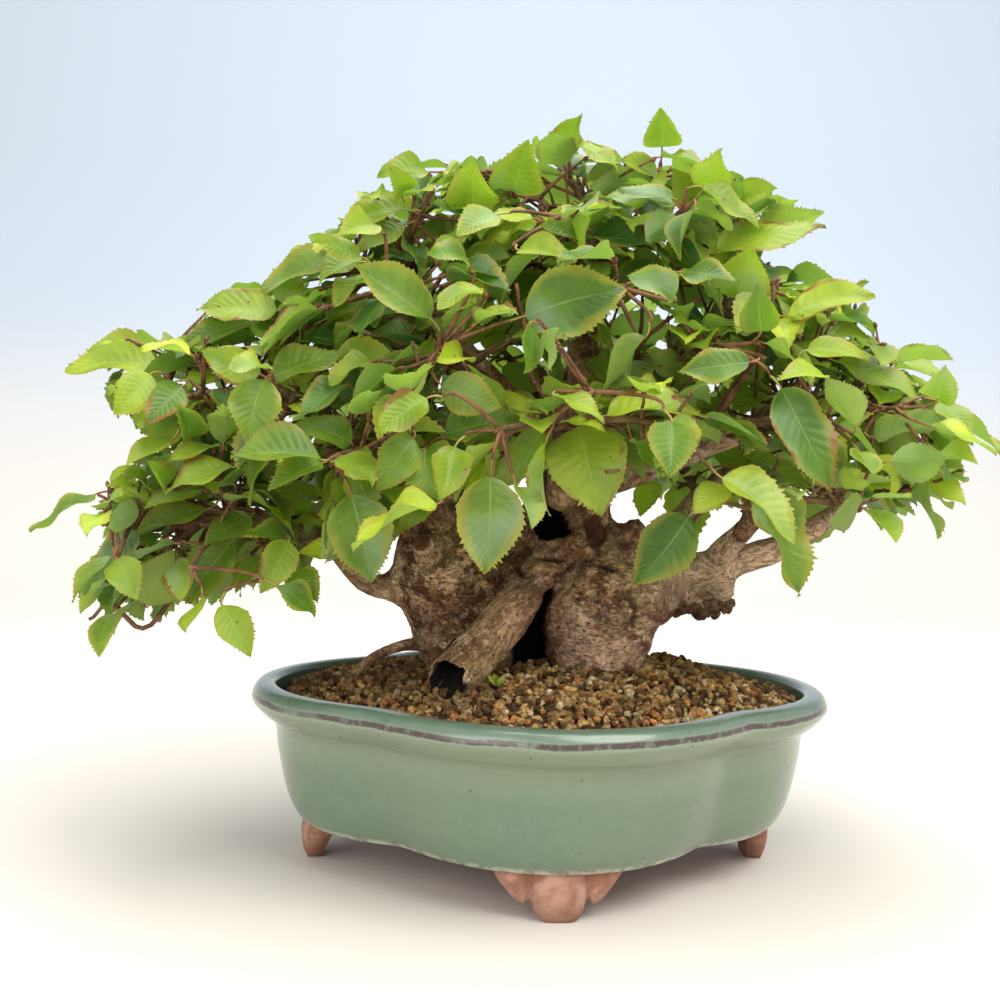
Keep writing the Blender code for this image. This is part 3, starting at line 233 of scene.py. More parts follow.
# Leaves as they are seen from the viewpoint, on the sheet: base across and down, tip across and
# down, width, tone from dark to yellow, and 1 where the edge is scorched brown.
SEEN_LEAVES = (
    # the left side
    (160, 366, 65, 359, 35, 0.6, 0), (150, 374, 114, 414, 38, 0.6, 0), (174, 382, 125, 410, 24, 0.3, 0),
    (182, 386, 145, 420, 32, 0.2, 1), (207, 401, 152, 410, 12, 0.4, 0), (190, 438, 186, 410, 26, 0.1, 0),
    (170, 441, 124, 458, 12, 0.5, 0), (220, 446, 167, 456, 12, 0.5, 0), (265, 380, 250, 444, 50, 0.3, 0),
    (234, 467, 163, 490, 24, 0.5, 1), (322, 460, 231, 450, 30, 0.3, 0), (320, 497, 267, 484, 22, 0.8, 0),
    (207, 510, 132, 536, 24, 0.4, 0), (250, 517, 205, 541, 30, 0.25, 0), (232, 542, 182, 603, 42, 0.35, 0),
    (289, 541, 262, 590, 36, 0.45, 1), (292, 570, 316, 597, 30, 0.3, 1), (277, 585, 316, 612, 22, 0.15, 0),
    (149, 606, 170, 554, 46, 0.5, 0), (117, 559, 135, 599, 34, 0.45, 0), (140, 530, 91, 566, 28, 0.1, 0),
    (112, 557, 69, 600, 14, 0.4, 0), (109, 577, 76, 606, 12, 0.5, 0), (112, 614, 94, 649, 22, 0.35, 0),
    (201, 600, 182, 629, 8, 0.5, 0), (222, 605, 251, 652, 34, 0.6, 0), (96, 494, 27, 527, 10, 0.25, 0),
    (147, 487, 129, 470, 10, 0.3, 0), (102, 514, 84, 526, 12, 0.85, 0), (165, 487, 157, 463, 18, 0.3, 1),
    (262, 318, 184, 341, 26, 0.3, 0), (260, 374, 201, 350, 36, 0.5, 1), (224, 371, 184, 390, 16, 0.6, 0),
    (265, 369, 231, 362, 8, 0.6, 0), (268, 380, 345, 345, 30, 0.3, 0), (167, 368, 200, 378, 22, 0.5, 0),
    (277, 310, 196, 305, 34, 0.5, 1), (326, 319, 370, 299, 20, 0.3, 0), (322, 463, 268, 480, 24, 0.3, 0),
    (292, 540, 248, 530, 22, 0.2, 0), (262, 560, 235, 590, 24, 0.4, 1), (178, 560, 176, 597, 26, 0.4, 1),
    # the left shoulder and the top
    (431, 319, 356, 261, 42, 0.3, 0), (467, 259, 433, 247, 17, 0.2, 0), (481, 289, 437, 302, 15, 0.6, 0),
    (427, 172, 379, 171, 20, 0.5, 0), (402, 197, 398, 174, 24, 0.55, 0), (416, 210, 345, 212, 20, 0.6, 0),
    (472, 211, 474, 168, 50, 0.6, 0), (375, 225, 344, 228, 22, 0.5, 0), (405, 225, 354, 249, 20, 0.5, 0),
    (452, 224, 405, 240, 20, 0.3, 0), (496, 215, 457, 232, 27, 0.5, 0), (360, 256, 319, 237, 22, 0.45, 0),
    (337, 260, 257, 280, 26, 0.35, 0), (360, 262, 319, 275, 14, 0.45, 0), (366, 275, 332, 301, 18, 0.4, 0),
    (406, 242, 424, 267, 14, 0.1, 0), (467, 252, 506, 250, 18, 0.4, 0),
    # the middle
    (351, 494, 372, 583, 64, 0.25, 0), (525, 316, 628, 289, 70, 0.12, 0), (461, 352, 489, 326, 20, 0.7, 1),
    (463, 358, 443, 352, 12, 0.9, 0), (442, 385, 499, 407, 44, 0.35, 0), (444, 435, 519, 414, 36, 0.2, 0),
    (502, 367, 546, 386, 28, 0.4, 0), (490, 352, 506, 318, 24, 0.6, 0), (530, 324, 534, 370, 14, 0.1, 0),
    (564, 330, 559, 389, 16, 0.25, 0), (607, 415, 707, 402, 28, 0.8, 1), (555, 396, 606, 414, 12, 0.6, 0),
    (579, 426, 599, 509, 82, 0.62, 1), (490, 476, 484, 575, 68, 0.35, 0), (426, 451, 441, 496, 58, 0.35, 0),
    (414, 438, 380, 487, 44, 0.3, 0), (427, 398, 377, 432, 36, 0.45, 1), (455, 447, 442, 500, 40, 0.5, 0),
    (542, 430, 515, 482, 32, 0.4, 1), (546, 442, 538, 515, 14, 0.5, 1), (517, 487, 534, 527, 22, 0.45, 0),
    (437, 504, 347, 535, 18, 0.8, 1), (634, 442, 660, 476, 20, 0.25, 0), (425, 341, 372, 327, 22, 0.15, 0),
    (352, 443, 300, 420, 30, 0.3, 0), (345, 385, 298, 413, 24, 0.1, 0),
    # the right shoulder and the top
    (519, 250, 567, 247, 20, 0.6, 0), (514, 293, 552, 272, 20, 0.3, 0), (675, 297, 634, 273, 28, 0.2, 0),
    (736, 299, 752, 252, 56, 0.55, 0), (682, 272, 735, 275, 20, 0.15, 0), (717, 254, 820, 210, 30, 0.6, 1),
    (705, 186, 719, 156, 40, 0.55, 0), (702, 187, 762, 226, 20, 0.5, 0), (742, 198, 770, 186, 24, 0.5, 0),
    (690, 204, 676, 171, 28, 0.55, 0), (662, 147, 661, 117, 36, 0.3, 0), (570, 144, 576, 120, 26, 0.35, 1),
    (657, 170, 624, 159, 20, 0.6, 0), (513, 192, 527, 145, 50, 0.4, 0), (577, 145, 619, 161, 14, 0.5, 0),
    (676, 204, 606, 193, 12, 0.35, 0), (674, 199, 619, 187, 14, 0.1, 0), (695, 207, 675, 257, 14, 0.15, 0),
    (577, 241, 551, 219, 16, 0.3, 0), (577, 241, 584, 218, 16, 0.5, 0), (655, 262, 612, 282, 24, 0.1, 0),
    # the right side
    (690, 515, 633, 585, 56, 0.1, 0), (672, 422, 669, 477, 48, 0.2, 0), (685, 482, 695, 541, 46, 0.25, 0),
    (652, 480, 640, 515, 26, 0.6, 1), (787, 316, 870, 281, 34, 0.6, 1), (761, 331, 757, 290, 38, 0.15, 0),
    (800, 337, 877, 333, 14, 0.5, 0), (807, 350, 869, 356, 22, 0.6, 0), (837, 362, 925, 397, 22, 0.5, 0),
    (781, 388, 836, 490, 54, 0.1, 1), (937, 399, 945, 370, 34, 0.5, 0), (939, 402, 972, 431, 22, 0.5, 0),
    (930, 426, 1000, 446, 8, 0.8, 0), (940, 452, 974, 457, 20, 0.5, 1), (925, 479, 966, 504, 20, 0.6, 0),
    (860, 452, 874, 474, 20, 0.4, 0), (872, 509, 897, 541, 22, 0.5, 0), (722, 478, 804, 532, 34, 0.65, 0),
    (752, 492, 812, 590, 44, 0.3, 0), (728, 486, 695, 508, 30, 0.7, 1), (745, 455, 820, 490, 16, 0.3, 1),
    (706, 447, 754, 467, 18, 0.55, 1), (750, 362, 677, 365, 32, 0.15, 0), (760, 381, 732, 337, 32, 0.5, 0),
    (825, 376, 782, 370, 12, 0.8, 0), (765, 397, 697, 405, 24, 0.4, 0), (690, 378, 650, 352, 26, 0.4, 0),
)
SEEN_BACKS = (  # the same, for leaves that show their lighter underside
    (139, 510, 104, 527, 26, 0.4, 0), (543, 332, 553, 370, 18, 0.4, 0), (646, 337, 582, 401, 22, 0.5, 0),
    (855, 426, 826, 376, 30, 0.6, 0), (874, 437, 946, 416, 26, 0.5, 0), (890, 461, 949, 459, 38, 0.4, 0),
    (844, 532, 857, 492, 20, 0.5, 0), (564, 165, 546, 127, 40, 0.5, 1), (514, 194, 586, 194, 30, 0.5, 0),
    (652, 180, 590, 185, 34, 0.4, 1), (681, 220, 640, 240, 30, 0.25, 0),
)
SEEN_LEAVES_KEPT, SEEN_PER_SPRAY = 106, 3
TWIG_CHOICES, TWIG_SAMPLES = 9, 14
FRONT_PULL, FRONT = 0.22, 90
SEEN_SHIFTS = (4, 1, 7, -2, 10, -5, 13, -8, 16, 20, -12, 24, 29, 34)
SEEN_LEAST_LENGTH, SEEN_LEAN, SEEN_MOST_LEAN = 24, 0.85, 20
SEEN_WIDEST, SEEN_NARROWEST, SEEN_GROWTH = 0.72, 0.6, 1.03
LONGEST_STALK, SHARPEST_STALK = 34, -0.4
STALK_SAMPLES, STALK_WOOD_BERTH = 9, 1.3
LATE_PER_SPRAY, LATE_LONGEST_STALK, LATE_TWIG_CHOICES = 9, 60, 20

# Leaves: ovate and doubly toothed. The plain outline serves to keep them clear of each other.
LEAVES_PER_SPRAY = 3
LEAF_LENGTHS = (24, 38)
LEAF_WIDTH = 0.66
LEAF_THICKNESS = 0.7
LEAF_SIDE = ((0.24, 1.0), (0.6, 0.66), (0.67, 0.8))
LEAF_MIDDLE = 0.42
LEAF_FOLD, LEAF_DROOP, LEAF_ARCH = 0.22, 0.16, 0.4
STALK_RADIUS, STALK_LENGTH, STALK_LEAD = 0.6, 7, 7
CLEARANCE, WOOD_BERTH, LEAF_BERTH_GROWTH = 0.9, 1.5, 1.05
TWIG_SHARE_WITH_LEAVES, LEAF_SHIFT = 0.85, (-0.07, 0.05)
LEAF_LOWEST_SHARE, LEAF_HIGHEST_SHARE = 0.12, 0.985
END_LEAF_SWING, SIDE_LEAF_SWING, SWING_STEP = (-0.4, 0.4), (0.5, 1.1), 0.07
OUTWARD_DEPTH, OUTWARD_PULL = 1.4, 0.35
UP, STALK_RISE = Vector((0, 0, 1)), 0.5
LEAF_TONES, BROWN_CHANCE = (0.42, 0.33), 0.2  # middle and spread of the tone
SHOOT_PLACES, GAP_DEPTHS, SHORTEST_GAP_SHOOT = (0.2, 0.8), (-12, 4), 6
FIRST_LEAF, SHOOT_BERTH, SHOOT_LEAF_BERTH, SHOOT_STALK_RISE = 0.6, 1.2, 1, 0.4
SHOOT_END_TURN = (-0.3, 0.3)
DROOP_TOP, DROOP_RANGE, TOP_HANG_SHARE, HANG = 235, 100, 0.35, (0.4, 1.0)
STALK_VARIATION, SHRINK_STEP = (0.7, 1.2), 0.012
FACING_OUT, FACING_SCATTER = 0.8, 0.45
TRIES = 26
TWIG_HOLD, TWIG_BERTH = 0.97, 1.5
STALK_START, STALK_BERTH = 2.6, 1.3
LOWEST_LEAF = 84
SEED, SEED_STRIDE = 7, 1000

# Blade in detail: rows that follow the side veins, with teeth where they reach the edge.
VEINS, ROWS_PER_VEIN, HALF_COLUMNS = 11, 4, (0, 0.3, 0.62, 0.9, 1.0)
SMALL_VEINS, SMALL_ROWS_PER_VEIN, SMALL_HALF_COLUMNS, FINE_TO = 9, 3, (0, 0.6, 1.0), 20
VEIN_SWEEP = 0.9
BLADE_OUTLINE = (  # share of the length, share of the greatest half width
    (0, 0.05), (0.03, 0.28), (0.08, 0.5), (0.16, 0.76), (0.26, 0.93), (0.37, 1.0), (0.49, 0.98),
    (0.61, 0.86), (0.73, 0.66), (0.84, 0.42), (0.93, 0.19), (1, 0),
)
TOOTH_OUT, TOOTH_ON, PLEAT, RAGGED = 0.07, 0.022, 0.007, 0.05

# Side shoots that carry the rest of the foliage.
SHOOTS_PER_SPRAY, SHOOT_LENGTHS, SHOOT_RADIUS, SHOOT_TIP_RADIUS = 7, (18, 40), 0.85, 0.45
SHOOT_TURN, SHOOT_PARTS, SHOOT_SWAY = (0.6, 1.25), 4, 0.18
INTERNODE, SHOOT_LEAF_LENGTHS, SHOOT_LEAF_TURN = 7.5, (17, 31), (0.6, 1.0)
SHOOT_LEAF_TRIES, SHOOT_LEAF_STALK = 5, (2.5, 5)
SHOOT_LEAF_WIDTHS, SHOOT_LEAF_HANG, SHOOT_LEAF_OUT = (0.6, 0.8), (0.1, 0.7), 0.25
SHOOT_LEAF_FACING, SHOOT_LEAF_SCATTER = (0, 0.55), 0.5
GAP_CHOICES, GAP_REACH, GAP_SCATTER, GAP_SAMPLE = 6, 34, 20, 5
LONGEST_BARE_STALK, BARE_STALK = 11, 6

# The foliage as it is seen from the viewpoint, on the sheet: nothing more grows outside it.
FOLIAGE_EDGE = (
    (70, 600), (84, 560), (92, 505), (112, 470), (150, 440), (112, 412), (66, 362), (90, 342),
    (150, 336), (185, 345), (190, 322), (206, 292), (262, 276), (270, 260), (320, 236), (345, 210),
    (358, 196), (385, 168), (430, 160), (480, 166), (515, 148), (548, 128), (585, 140), (620, 152),
    (655, 150), (690, 160), (735, 166), (772, 180), (790, 206), (800, 222), (762, 250), (776, 268),
    (812, 272), (868, 282), (858, 300), (878, 322), (874, 340), (925, 368), (958, 376), (948, 396),
    (972, 430), (972, 460), (962, 492), (930, 486), (898, 530), (868, 505), (850, 530), (826, 520),
    (800, 515), (760, 520), (720, 512), (690, 505), (655, 492), (620, 490), (590, 470), (545, 470),
    (505, 490), (465, 505), (430, 510), (395, 545), (370, 575), (318, 560), (305, 600), (272, 588),
    (240, 600), (190, 606), (150, 622), (104, 632), (86, 606),
)
VIEW_CELL = 4


def middle_of(node):
    """Where the middle of a node's footprint stands."""
    low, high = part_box(node)
    return Vector(((low.x + high.x) / 2, (low.y + high.y) / 2, 0))


POT_PLACE = middle_of("pot")


# Placing the foliage: the same rule as the frame's, so that each blade lies on its own.
def stations(limb):
    return [(Vector(s[:3]), s[3]) for s in limb]


def along_limb(limb, share):
    """Point and direction at a share of a limb's length."""
    run = stations(limb)
    lengths = [(b[0] - a[0]).length for a, b in zip(run, run[1:])]
    left = share * sum(lengths)
    for (a, _), (b, _), length in zip(run, run[1:], lengths):
        if left <= length:
            return a.lerp(b, left / length), (b - a).normalized()
        left -= length
    return run[-1][0], (run[-1][0] - run[-2][0]).normalized()


def lofted(rings):
    """Points and faces of a skin through rings of equal count, closed at both ends."""
    count = len(rings[0])
    points = [p for ring in rings for p in ring]
    faces = []
    for k in range(len(rings) - 1):
        for i in range(count):
            j = (i + 1) % count
            faces.append((k * count + i, k * count + j, (k + 1) * count + j, (k + 1) * count + i))
    faces.append(tuple(reversed(range(count))))
    faces.append(tuple(range((len(rings) - 1) * count, len(rings) * count)))
    return points, faces


def prism(run):
    """Points and faces of a square tube round a run, for testing what it would touch."""
    rings = []
    for k, (at, radius) in enumerate(run):
        along = (run[min(k + 1, len(run) - 1)][0] - run[max(k - 1, 0)][0]).normalized()
        side = along.cross(Vector((0.2, 0.3, 1))).normalized() * radius
        over = side.cross(along)
        rings.append([at + side, at + over, at - side, at - over])
    return lofted(rings)


def twig_run(root, first, tip):
    """A twig that leaves along its stub and curves to its tip."""
    reach = (tip - root).length
    bend = root + first * reach * TWIG_BEND
    run = []
    for k in range(TWIG_PARTS + 1):
        t = k / TWIG_PARTS
        at = root.lerp(bend, t).lerp(bend.lerp(tip, t), t)
        run.append((at, TWIG_RADIUS + (TWIG_TIP_RADIUS - TWIG_RADIUS) * t))
    return run


def spray_twigs():
    """For each spray the run of its twig, which starts just clear of the frame's wood."""
    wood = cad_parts["wood"].data
    surface = BVHTree.FromPolygons([(v.co - POT_PLACE) / MM for v in wood.vertices],
                                   [tuple(p.vertices) for p in wood.polygons])
    runs = {}
    for name, (limb, share, tip) in SPRAYS.items():
        at, along = along_limb(LIMBS[limb], share)
        tip = Vector(tip)
        lean = END_TWIG_LEAN if share == 1.0 else SIDE_TWIG_LEAN
        first = ((tip - at).normalized() + along * lean).normalized()
        reach = 0
        while True:
            run = twig_run(at + first * reach, first, tip)
            grown = [(run[0][0] - first * GAP, run[0][1] + GAP), *[(p, r + GAP) for p, r in run]]
            if not surface.overlap(BVHTree.FromPolygons(*prism(grown))):
                break
            reach += STEP_OUT
        runs[name] = run
    return runs


def plain_leaf(base, tip, facing, width, thickness=LEAF_THICKNESS, grow=1.0):
    """Points and faces of a leaf's plain outline, folded and drooping."""
    along = tip - base
    length = along.length
    along.normalize()
    side = along.cross(facing).normalized()
    up = side.cross(along)
    droop = length * LEAF_DROOP

    def spot(share, out):
        lift = abs(out) * LEAF_FOLD - droop * (share * share - share * LEAF_ARCH)
        return base + along * length * share + side * out + up * lift

    half = width * length / 2 * grow
    neck = side * STALK_RADIUS
    edge = [base - neck]
    edge += [spot(share, -half * part) for share, part in LEAF_SIDE]
    edge += [spot(grow, 0)]
    edge += [spot(share, half * part) for share, part in reversed(LEAF_SIDE)]
    edge += [base + neck, spot(LEAF_MIDDLE, 0)]
    count = len(edge)
    middle = count - 1
    right = middle - 1
    sheet = [(k, k + 1, middle) for k in range(right)] + [(right, 0, middle)]
    lift = up * thickness / 2
    points = [p + lift for p in edge] + [p - lift for p in edge]
    faces = sheet + [(a + count, c + count, b + count) for a, b, c in sheet]
    for a in range(right):
        faces += [(a + 1, a, a + count), (a + 1, a + count, a + 1 + count)]
    faces += [(right, count, 0), (right, right + count, count)]
    return points, faces


def stalk(foot, base):
    """Points and faces of the room that a stalk takes, from just off its twig to the blade."""
    start = foot + (base - foot).normalized() * STALK_START
    return prism([(start, STALK_BERTH), (base, STALK_BERTH)])


class Crowd:
    """What the leaves have to stay clear of."""

    def __init__(self):
        self.trees = []

    def add(self, owner, points, faces):
        middle = sum(points, Vector()) / len(points)
        reach = max((p - middle).length for p in points)
        self.trees.append((owner, middle, reach, BVHTree.FromPolygons(points, faces)))

    def hit(self, owner, points, faces):
        middle = sum(points, Vector()) / len(points)
        reach = max((p - middle).length for p in points)
        tree = BVHTree.FromPolygons(points, faces)
        for other, at, far, known in self.trees:
            if other != owner and (at - middle).length < far + reach and tree.overlap(known):
                return True
        return False


def limb_segments():
    """Ends and radii of every stretch of the wood, as arrays."""
    rows = []
    for limb in (*MASSES.values(), *LIMBS.values()):
        rows += [(*a, *b) for a, b in zip(limb, limb[1:])]
    rows = np.array(rows, float)
    return rows[:, :3], rows[:, 4:7], rows[:, 3], rows[:, 7]


WOOD_FROM, WOOD_TO, WOOD_FROM_RADIUS, WOOD_TO_RADIUS = limb_segments()


def near_wood(points, margin):
    spots = np.array([tuple(p) for p in points])[:, None, :]
    run = WOOD_TO - WOOD_FROM
    t = ((spots - WOOD_FROM) * run).sum(-1) / (run * run).sum(-1)
    t = np.clip(t, 0, 1)
    gap = np.linalg.norm(spots - WOOD_FROM - run * t[..., None], axis=-1)
    return bool((gap < WOOD_FROM_RADIUS + (WOOD_TO_RADIUS - WOOD_FROM_RADIUS) * t + margin).any())


def on_line(points, place):
    """Spot and direction at a place on a line, counted in its stretches."""
    k = min(int(place), len(points) - 2)
    return points[k].lerp(points[k + 1], place - k), (points[k + 1] - points[k]).normalized()


def outward_of(foot):
    """The level direction from the crown's middle out through a place."""
    return Vector((foot.x, foot.y * OUTWARD_DEPTH, 0)).normalized()


def scattered(rng, reach):
    """A random step of at most this reach each way."""
    return Vector([rng.uniform(-1, 1) * reach for _ in range(3)])


def nearest_on(run, place):
    """The point of a twig that is nearest to a place."""
    best = None
    for (a, _), (b, _) in zip(run, run[1:]):
        ab = b - a
        t = min(max((place - a).dot(ab) / ab.length_squared, 0), TWIG_HOLD)
        spot = a.lerp(b, t)
        if best is None or (spot - place).length < (best - place).length:
            best = spot
    return best


VIEW_TURN = (Matrix.Rotation(-VIEW_HEADING, 3, "Z")
             @ Matrix.Rotation(math.radians(90) + VIEW_PITCH, 3, "X")
             @ Matrix.Rotation(VIEW_ROLL, 3, "Z"))


def sight(x, y):
    """Direction from the viewpoint through a place on the sheet."""
    return (VIEW_TURN @ Vector((x - SHEET / 2, SHEET / 2 - y, -VIEW_LENGTH))).normalized()


def seen_blade(seen, shows_back, distance):
    """Base, tip, facing and width of a seen leaf whose base lies this far from the viewpoint."""
    x, y, tip_x, tip_y, wide = seen[:5]
    eye, toward = Vector(VIEWPOINT), -sight(x, y)
    base = eye - toward * distance
    unit = distance / VIEW_LENGTH
    across, wide = math.hypot(tip_x - x, tip_y - y) * unit, wide * unit
    length = max(across, wide / SEEN_WIDEST, SEEN_LEAST_LENGTH)
    nearer = min(math.sqrt(length * length - across * across) * SEEN_LEAN, SEEN_MOST_LEAN)
    tip = eye + sight(tip_x, tip_y) * (distance - nearer)
    length = (tip - base).length
    along = (tip - base).normalized()
    sideways = along.cross(toward).normalized()
    depth = along.cross(sideways)
    width = min(max(wide, length * SEEN_NARROWEST), length)
    share = min(wide / width, 1)
    rest = math.sqrt(1 - share * share)
    best = None
    for a, b in ((1, 1), (1, -1), (-1, 1), (-1, -1)):
        facing = (sideways * share * a + depth * rest * b).cross(along).normalized()
        shown = facing.dot(toward) * (-1 if shows_back else 1) > -0.05
        if best is None or (shown, facing.z) > best[:2]:
            best = (shown, facing.z, facing)
    return base, tip, best[2], width / length


def twigs_behind(seen, runs, held, most, choices):
    """The free sprays whose twigs pass nearest behind a seen leaf's base, with their distance."""
    eye, ahead = Vector(VIEWPOINT), sight(seen[0], seen[1])
    found = []
    for name, run in runs.items():
        if len(held[name]) >= most:
            continue
        costs = []
        for k in range(TWIG_SAMPLES):
            place = k / (TWIG_SAMPLES - 1) * (len(run) - 1)
            first = min(int(place), len(run) - 2)
            spot = run[first][0].lerp(run[first + 1][0], place - first)
            distance = (spot - eye).dot(ahead)
            off = (eye + ahead * distance - spot).length
            costs.append((off + FRONT_PULL * (spot.y + FRONT), distance))
        cost, distance = min(costs)
        found.append((cost, name, distance))
    return sorted(found)[:choices]


def seat_seen_leaf(seen, shows_back, runs, held, crowd, late=False):
    """Spray, foot, base, tip, facing and width of a seen leaf where it clears everything."""
    most = LATE_PER_SPRAY if late else SEEN_PER_SPRAY
    choices = LATE_TWIG_CHOICES if late else TWIG_CHOICES
    longest = LATE_LONGEST_STALK if late else LONGEST_STALK
    for _, name, distance in twigs_behind(seen, runs, held, most, choices):
        for shift in SEEN_SHIFTS:
            base, tip, facing, width = seen_blade(seen, shows_back, distance - shift)
            along = (tip - base).normalized()
            foot = nearest_on(runs[name], base - along * STALK_LEAD)
            reach = base - foot
            if reach.length > longest or reach.normalized().dot(along) < SHARPEST_STALK:
                continue
            berth = 1 if late else LEAF_THICKNESS + 2 * CLEARANCE
            blade = plain_leaf(base, tip, facing, width, berth, SEEN_GROWTH)
            start = min(STALK_START / reach.length, 1)
            line = [foot.lerp(base, start + (1 - start) * k / STALK_SAMPLES)
                    for k in range(STALK_SAMPLES + 1)]
            if near_wood(blade[0], WOOD_BERTH) or near_wood(line, STALK_WOOD_BERTH):
                continue
            if crowd.hit(None, *blade) or not late and crowd.hit(name, *stalk(foot, base)):
                continue
            return name, foot, base, tip, facing, width
    return None


def leaf_choice(rng, run, index, attempt):
    """Foot, base, tip and facing of the next leaf to try on a twig."""
    share = 1 - index / LEAVES_PER_SPRAY * TWIG_SHARE_WITH_LEAVES
    share = min(max(share + rng.uniform(*LEAF_SHIFT), LEAF_LOWEST_SHARE), LEAF_HIGHEST_SHARE)
    foot, along = on_line([p for p, _ in run], share * (len(run) - 1))
    outward = outward_of(foot)
    side = along.cross(UP).normalized() * (1 if index % 2 else -1)
    if index == 0:
        swing = rng.uniform(*END_LEAF_SWING) + SWING_STEP * attempt * (1 if attempt % 2 else -1)
    else:
        swing = rng.uniform(*SIDE_LEAF_SWING) + SWING_STEP * attempt
    heading = along * math.cos(swing) + side * math.sin(swing) + outward * OUTWARD_PULL
    depth = max(0, (DROOP_TOP - foot.z) / DROOP_RANGE)
    heading.z -= rng.uniform(*HANG) * (TOP_HANG_SHARE + depth / 2)
    heading.normalize()
    rise = (heading + along / 2 + UP * STALK_RISE).normalized()
    base = foot + rise * STALK_LENGTH * rng.uniform(*STALK_VARIATION)
    length = rng.uniform(*LEAF_LENGTHS) * (1 - SHRINK_STEP * attempt)
    facing = UP + outward * FACING_OUT + scattered(rng, FACING_SCATTER)
    return foot, base, base + heading * length, facing


class Foliage:
    """Every leaf, with what it hangs on and how it looks, and the room that is taken."""

    def __init__(self, runs):
        self.runs = runs
        self.leaves = {name: [] for name in runs}
        self.shoots = {name: [] for name in runs}
        self.crowd = Crowd()
        self.rng = random.Random(SEED)
        for name, run in runs.items():
            self.crowd.add(name, *prism([(p, r * TWIG_BERTH) for p, r in run]))

    def keep(self, name, foot, base, tip, facing, width, tone=None, brown=None, fine=True):
        if tone is None:
            tone = min(max(self.rng.gauss(*LEAF_TONES), 0), 1)
        if brown is None:
            brown = self.rng.random() < BROWN_CHANCE
        self.leaves[name].append((foot, base, tip, facing, width, tone, float(brown), fine))
        self.crowd.add(name + "_leaf", *plain_leaf(base, tip, facing, width))
        if fine:
            self.crowd.add(name + "_stalk", *stalk(foot, base))


def place_seen_leaves(foliage):
    """The leaves read one by one, first those that the frame has."""
    runs, held, crowd = foliage.runs, foliage.leaves, foliage.crowd
    seen = [(row, False) for row in SEEN_LEAVES] + [(row, True) for row in SEEN_BACKS]
    seen.sort(key=lambda item: -math.dist(item[0][:2], item[0][2:4]) * item[0][4])
    late = []
    for row, shows_back in seen:
        full = sum(len(leaves) for leaves in held.values()) == SEEN_LEAVES_KEPT
        seat = None if full else seat_seen_leaf(row, shows_back, runs, held, crowd)
        if seat:
            foliage.keep(*seat, row[5], row[6])
        else:
            late.append((row, shows_back))
    place_random_leaves(foliage)
    for row, shows_back in late:
        seat = seat_seen_leaf(row, shows_back, runs, held, crowd, late=True)
        if seat:
            foliage.keep(*seat, row[5], row[6])


def place_random_leaves(foliage):
    """The rest of the frame's leaves, where a twig has fewer than it should."""
    for index in range(LEAVES_PER_SPRAY):
        for order, (name, run) in enumerate(foliage.runs.items()):
            if len(foliage.leaves[name]) > index:
                continue
            rng = random.Random(SEED + SEED_STRIDE * index + order)
            for attempt in range(TRIES):
                foot, base, tip, facing = leaf_choice(rng, run, index, attempt)
                berth = LEAF_THICKNESS + 2 * CLEARANCE
                blade = plain_leaf(base, tip, facing, LEAF_WIDTH, berth, LEAF_BERTH_GROWTH)
                if near_wood(blade[0], WOOD_BERTH) or min(p.z for p in blade[0]) < LOWEST_LEAF:
                    continue
                if foliage.crowd.hit(None, *blade) or foliage.crowd.hit(name, *stalk(foot, base)):
                    continue
                foliage.keep(name, foot, base, tip, facing, LEAF_WIDTH)
                break


class Sheet:
    """What can be seen from the viewpoint: how far away each cell's nearest read leaf lies."""

    def __init__(self):
        count = SHEET // VIEW_CELL
        self.nearest = np.full((count, count), np.inf)
        places = (np.arange(count) + 0.5) * VIEW_CELL
        self.inside = inside_outline(places[None, :], places[:, None], FOLIAGE_EDGE)
        self.filled = np.zeros((count, count), bool)

    def cells(self, points):
        """Row, column and distance of each point."""
        turned = (np.array([tuple(p) for p in points]) - VIEWPOINT) @ np.array(VIEW_TURN)
        distance = -turned[:, 2]
        column = (SHEET / 2 + VIEW_LENGTH * turned[:, 0] / distance) / VIEW_CELL
        row = (SHEET / 2 - VIEW_LENGTH * turned[:, 1] / distance) / VIEW_CELL
        last = SHEET // VIEW_CELL - 1
        return np.clip(row.astype(int), 0, last), np.clip(column.astype(int), 0, last), distance

    def cover(self, points):
        row, column, distance = self.cells(points)
        np.minimum.at(self.nearest, (row, column), distance)

    def fill(self, points):
        row, column, _ = self.cells(points)
        self.filled[row, column] = True

    def spoils(self, points):
        """Whether these points leave the foliage's edge or stand in front of a read leaf."""
        row, column, distance = self.cells(points)
        nearest = self.nearest[row, column]
        hides = np.isfinite(nearest) & (distance < nearest)
        return bool((~self.inside[row, column]).any() or hides.any())


def inside_outline(x, y, outline):
    """Whether places lie inside a closed outline."""
    inside = np.zeros(np.broadcast(x, y).shape, bool)
    for (ax, ay), (bx, by) in zip(outline, (*outline[1:], outline[0])):
        crosses = (ay > y) != (by > y)
        at = ax + (y - ay) * (bx - ax) / (by - ay if by != ay else 1)
        inside ^= crosses & (x < at)
    return inside


def blade_grid(base, tip, facing, width, along_count=9, across_count=5):
    """Points spread over a plain blade, close enough together to tell what it hides."""
    along = tip - base
    side = along.cross(facing).normalized() * along.length * width / 2
    spots = []
    for i in range(along_count):
        share = (i + 0.5) / along_count
        half = float(outline_width(np.array(share)))
        for j in range(across_count):
            spots.append(base + along * share + side * half * (2 * j / (across_count - 1) - 1))
    return spots


def outline_width(share):
    """A blade's half width at a share of its length, as a share of the widest."""
    return np.interp(share, *zip(*BLADE_OUTLINE))


def zigzag(rng, root, heading, length, parts, sway):
    """Points of a thin shoot that bends a little at each bud."""
    points = [root]
    for _ in range(parts):
        heading = (heading + scattered(rng, sway)).normalized()
        points.append(points[-1] + heading * length / parts)
    return points


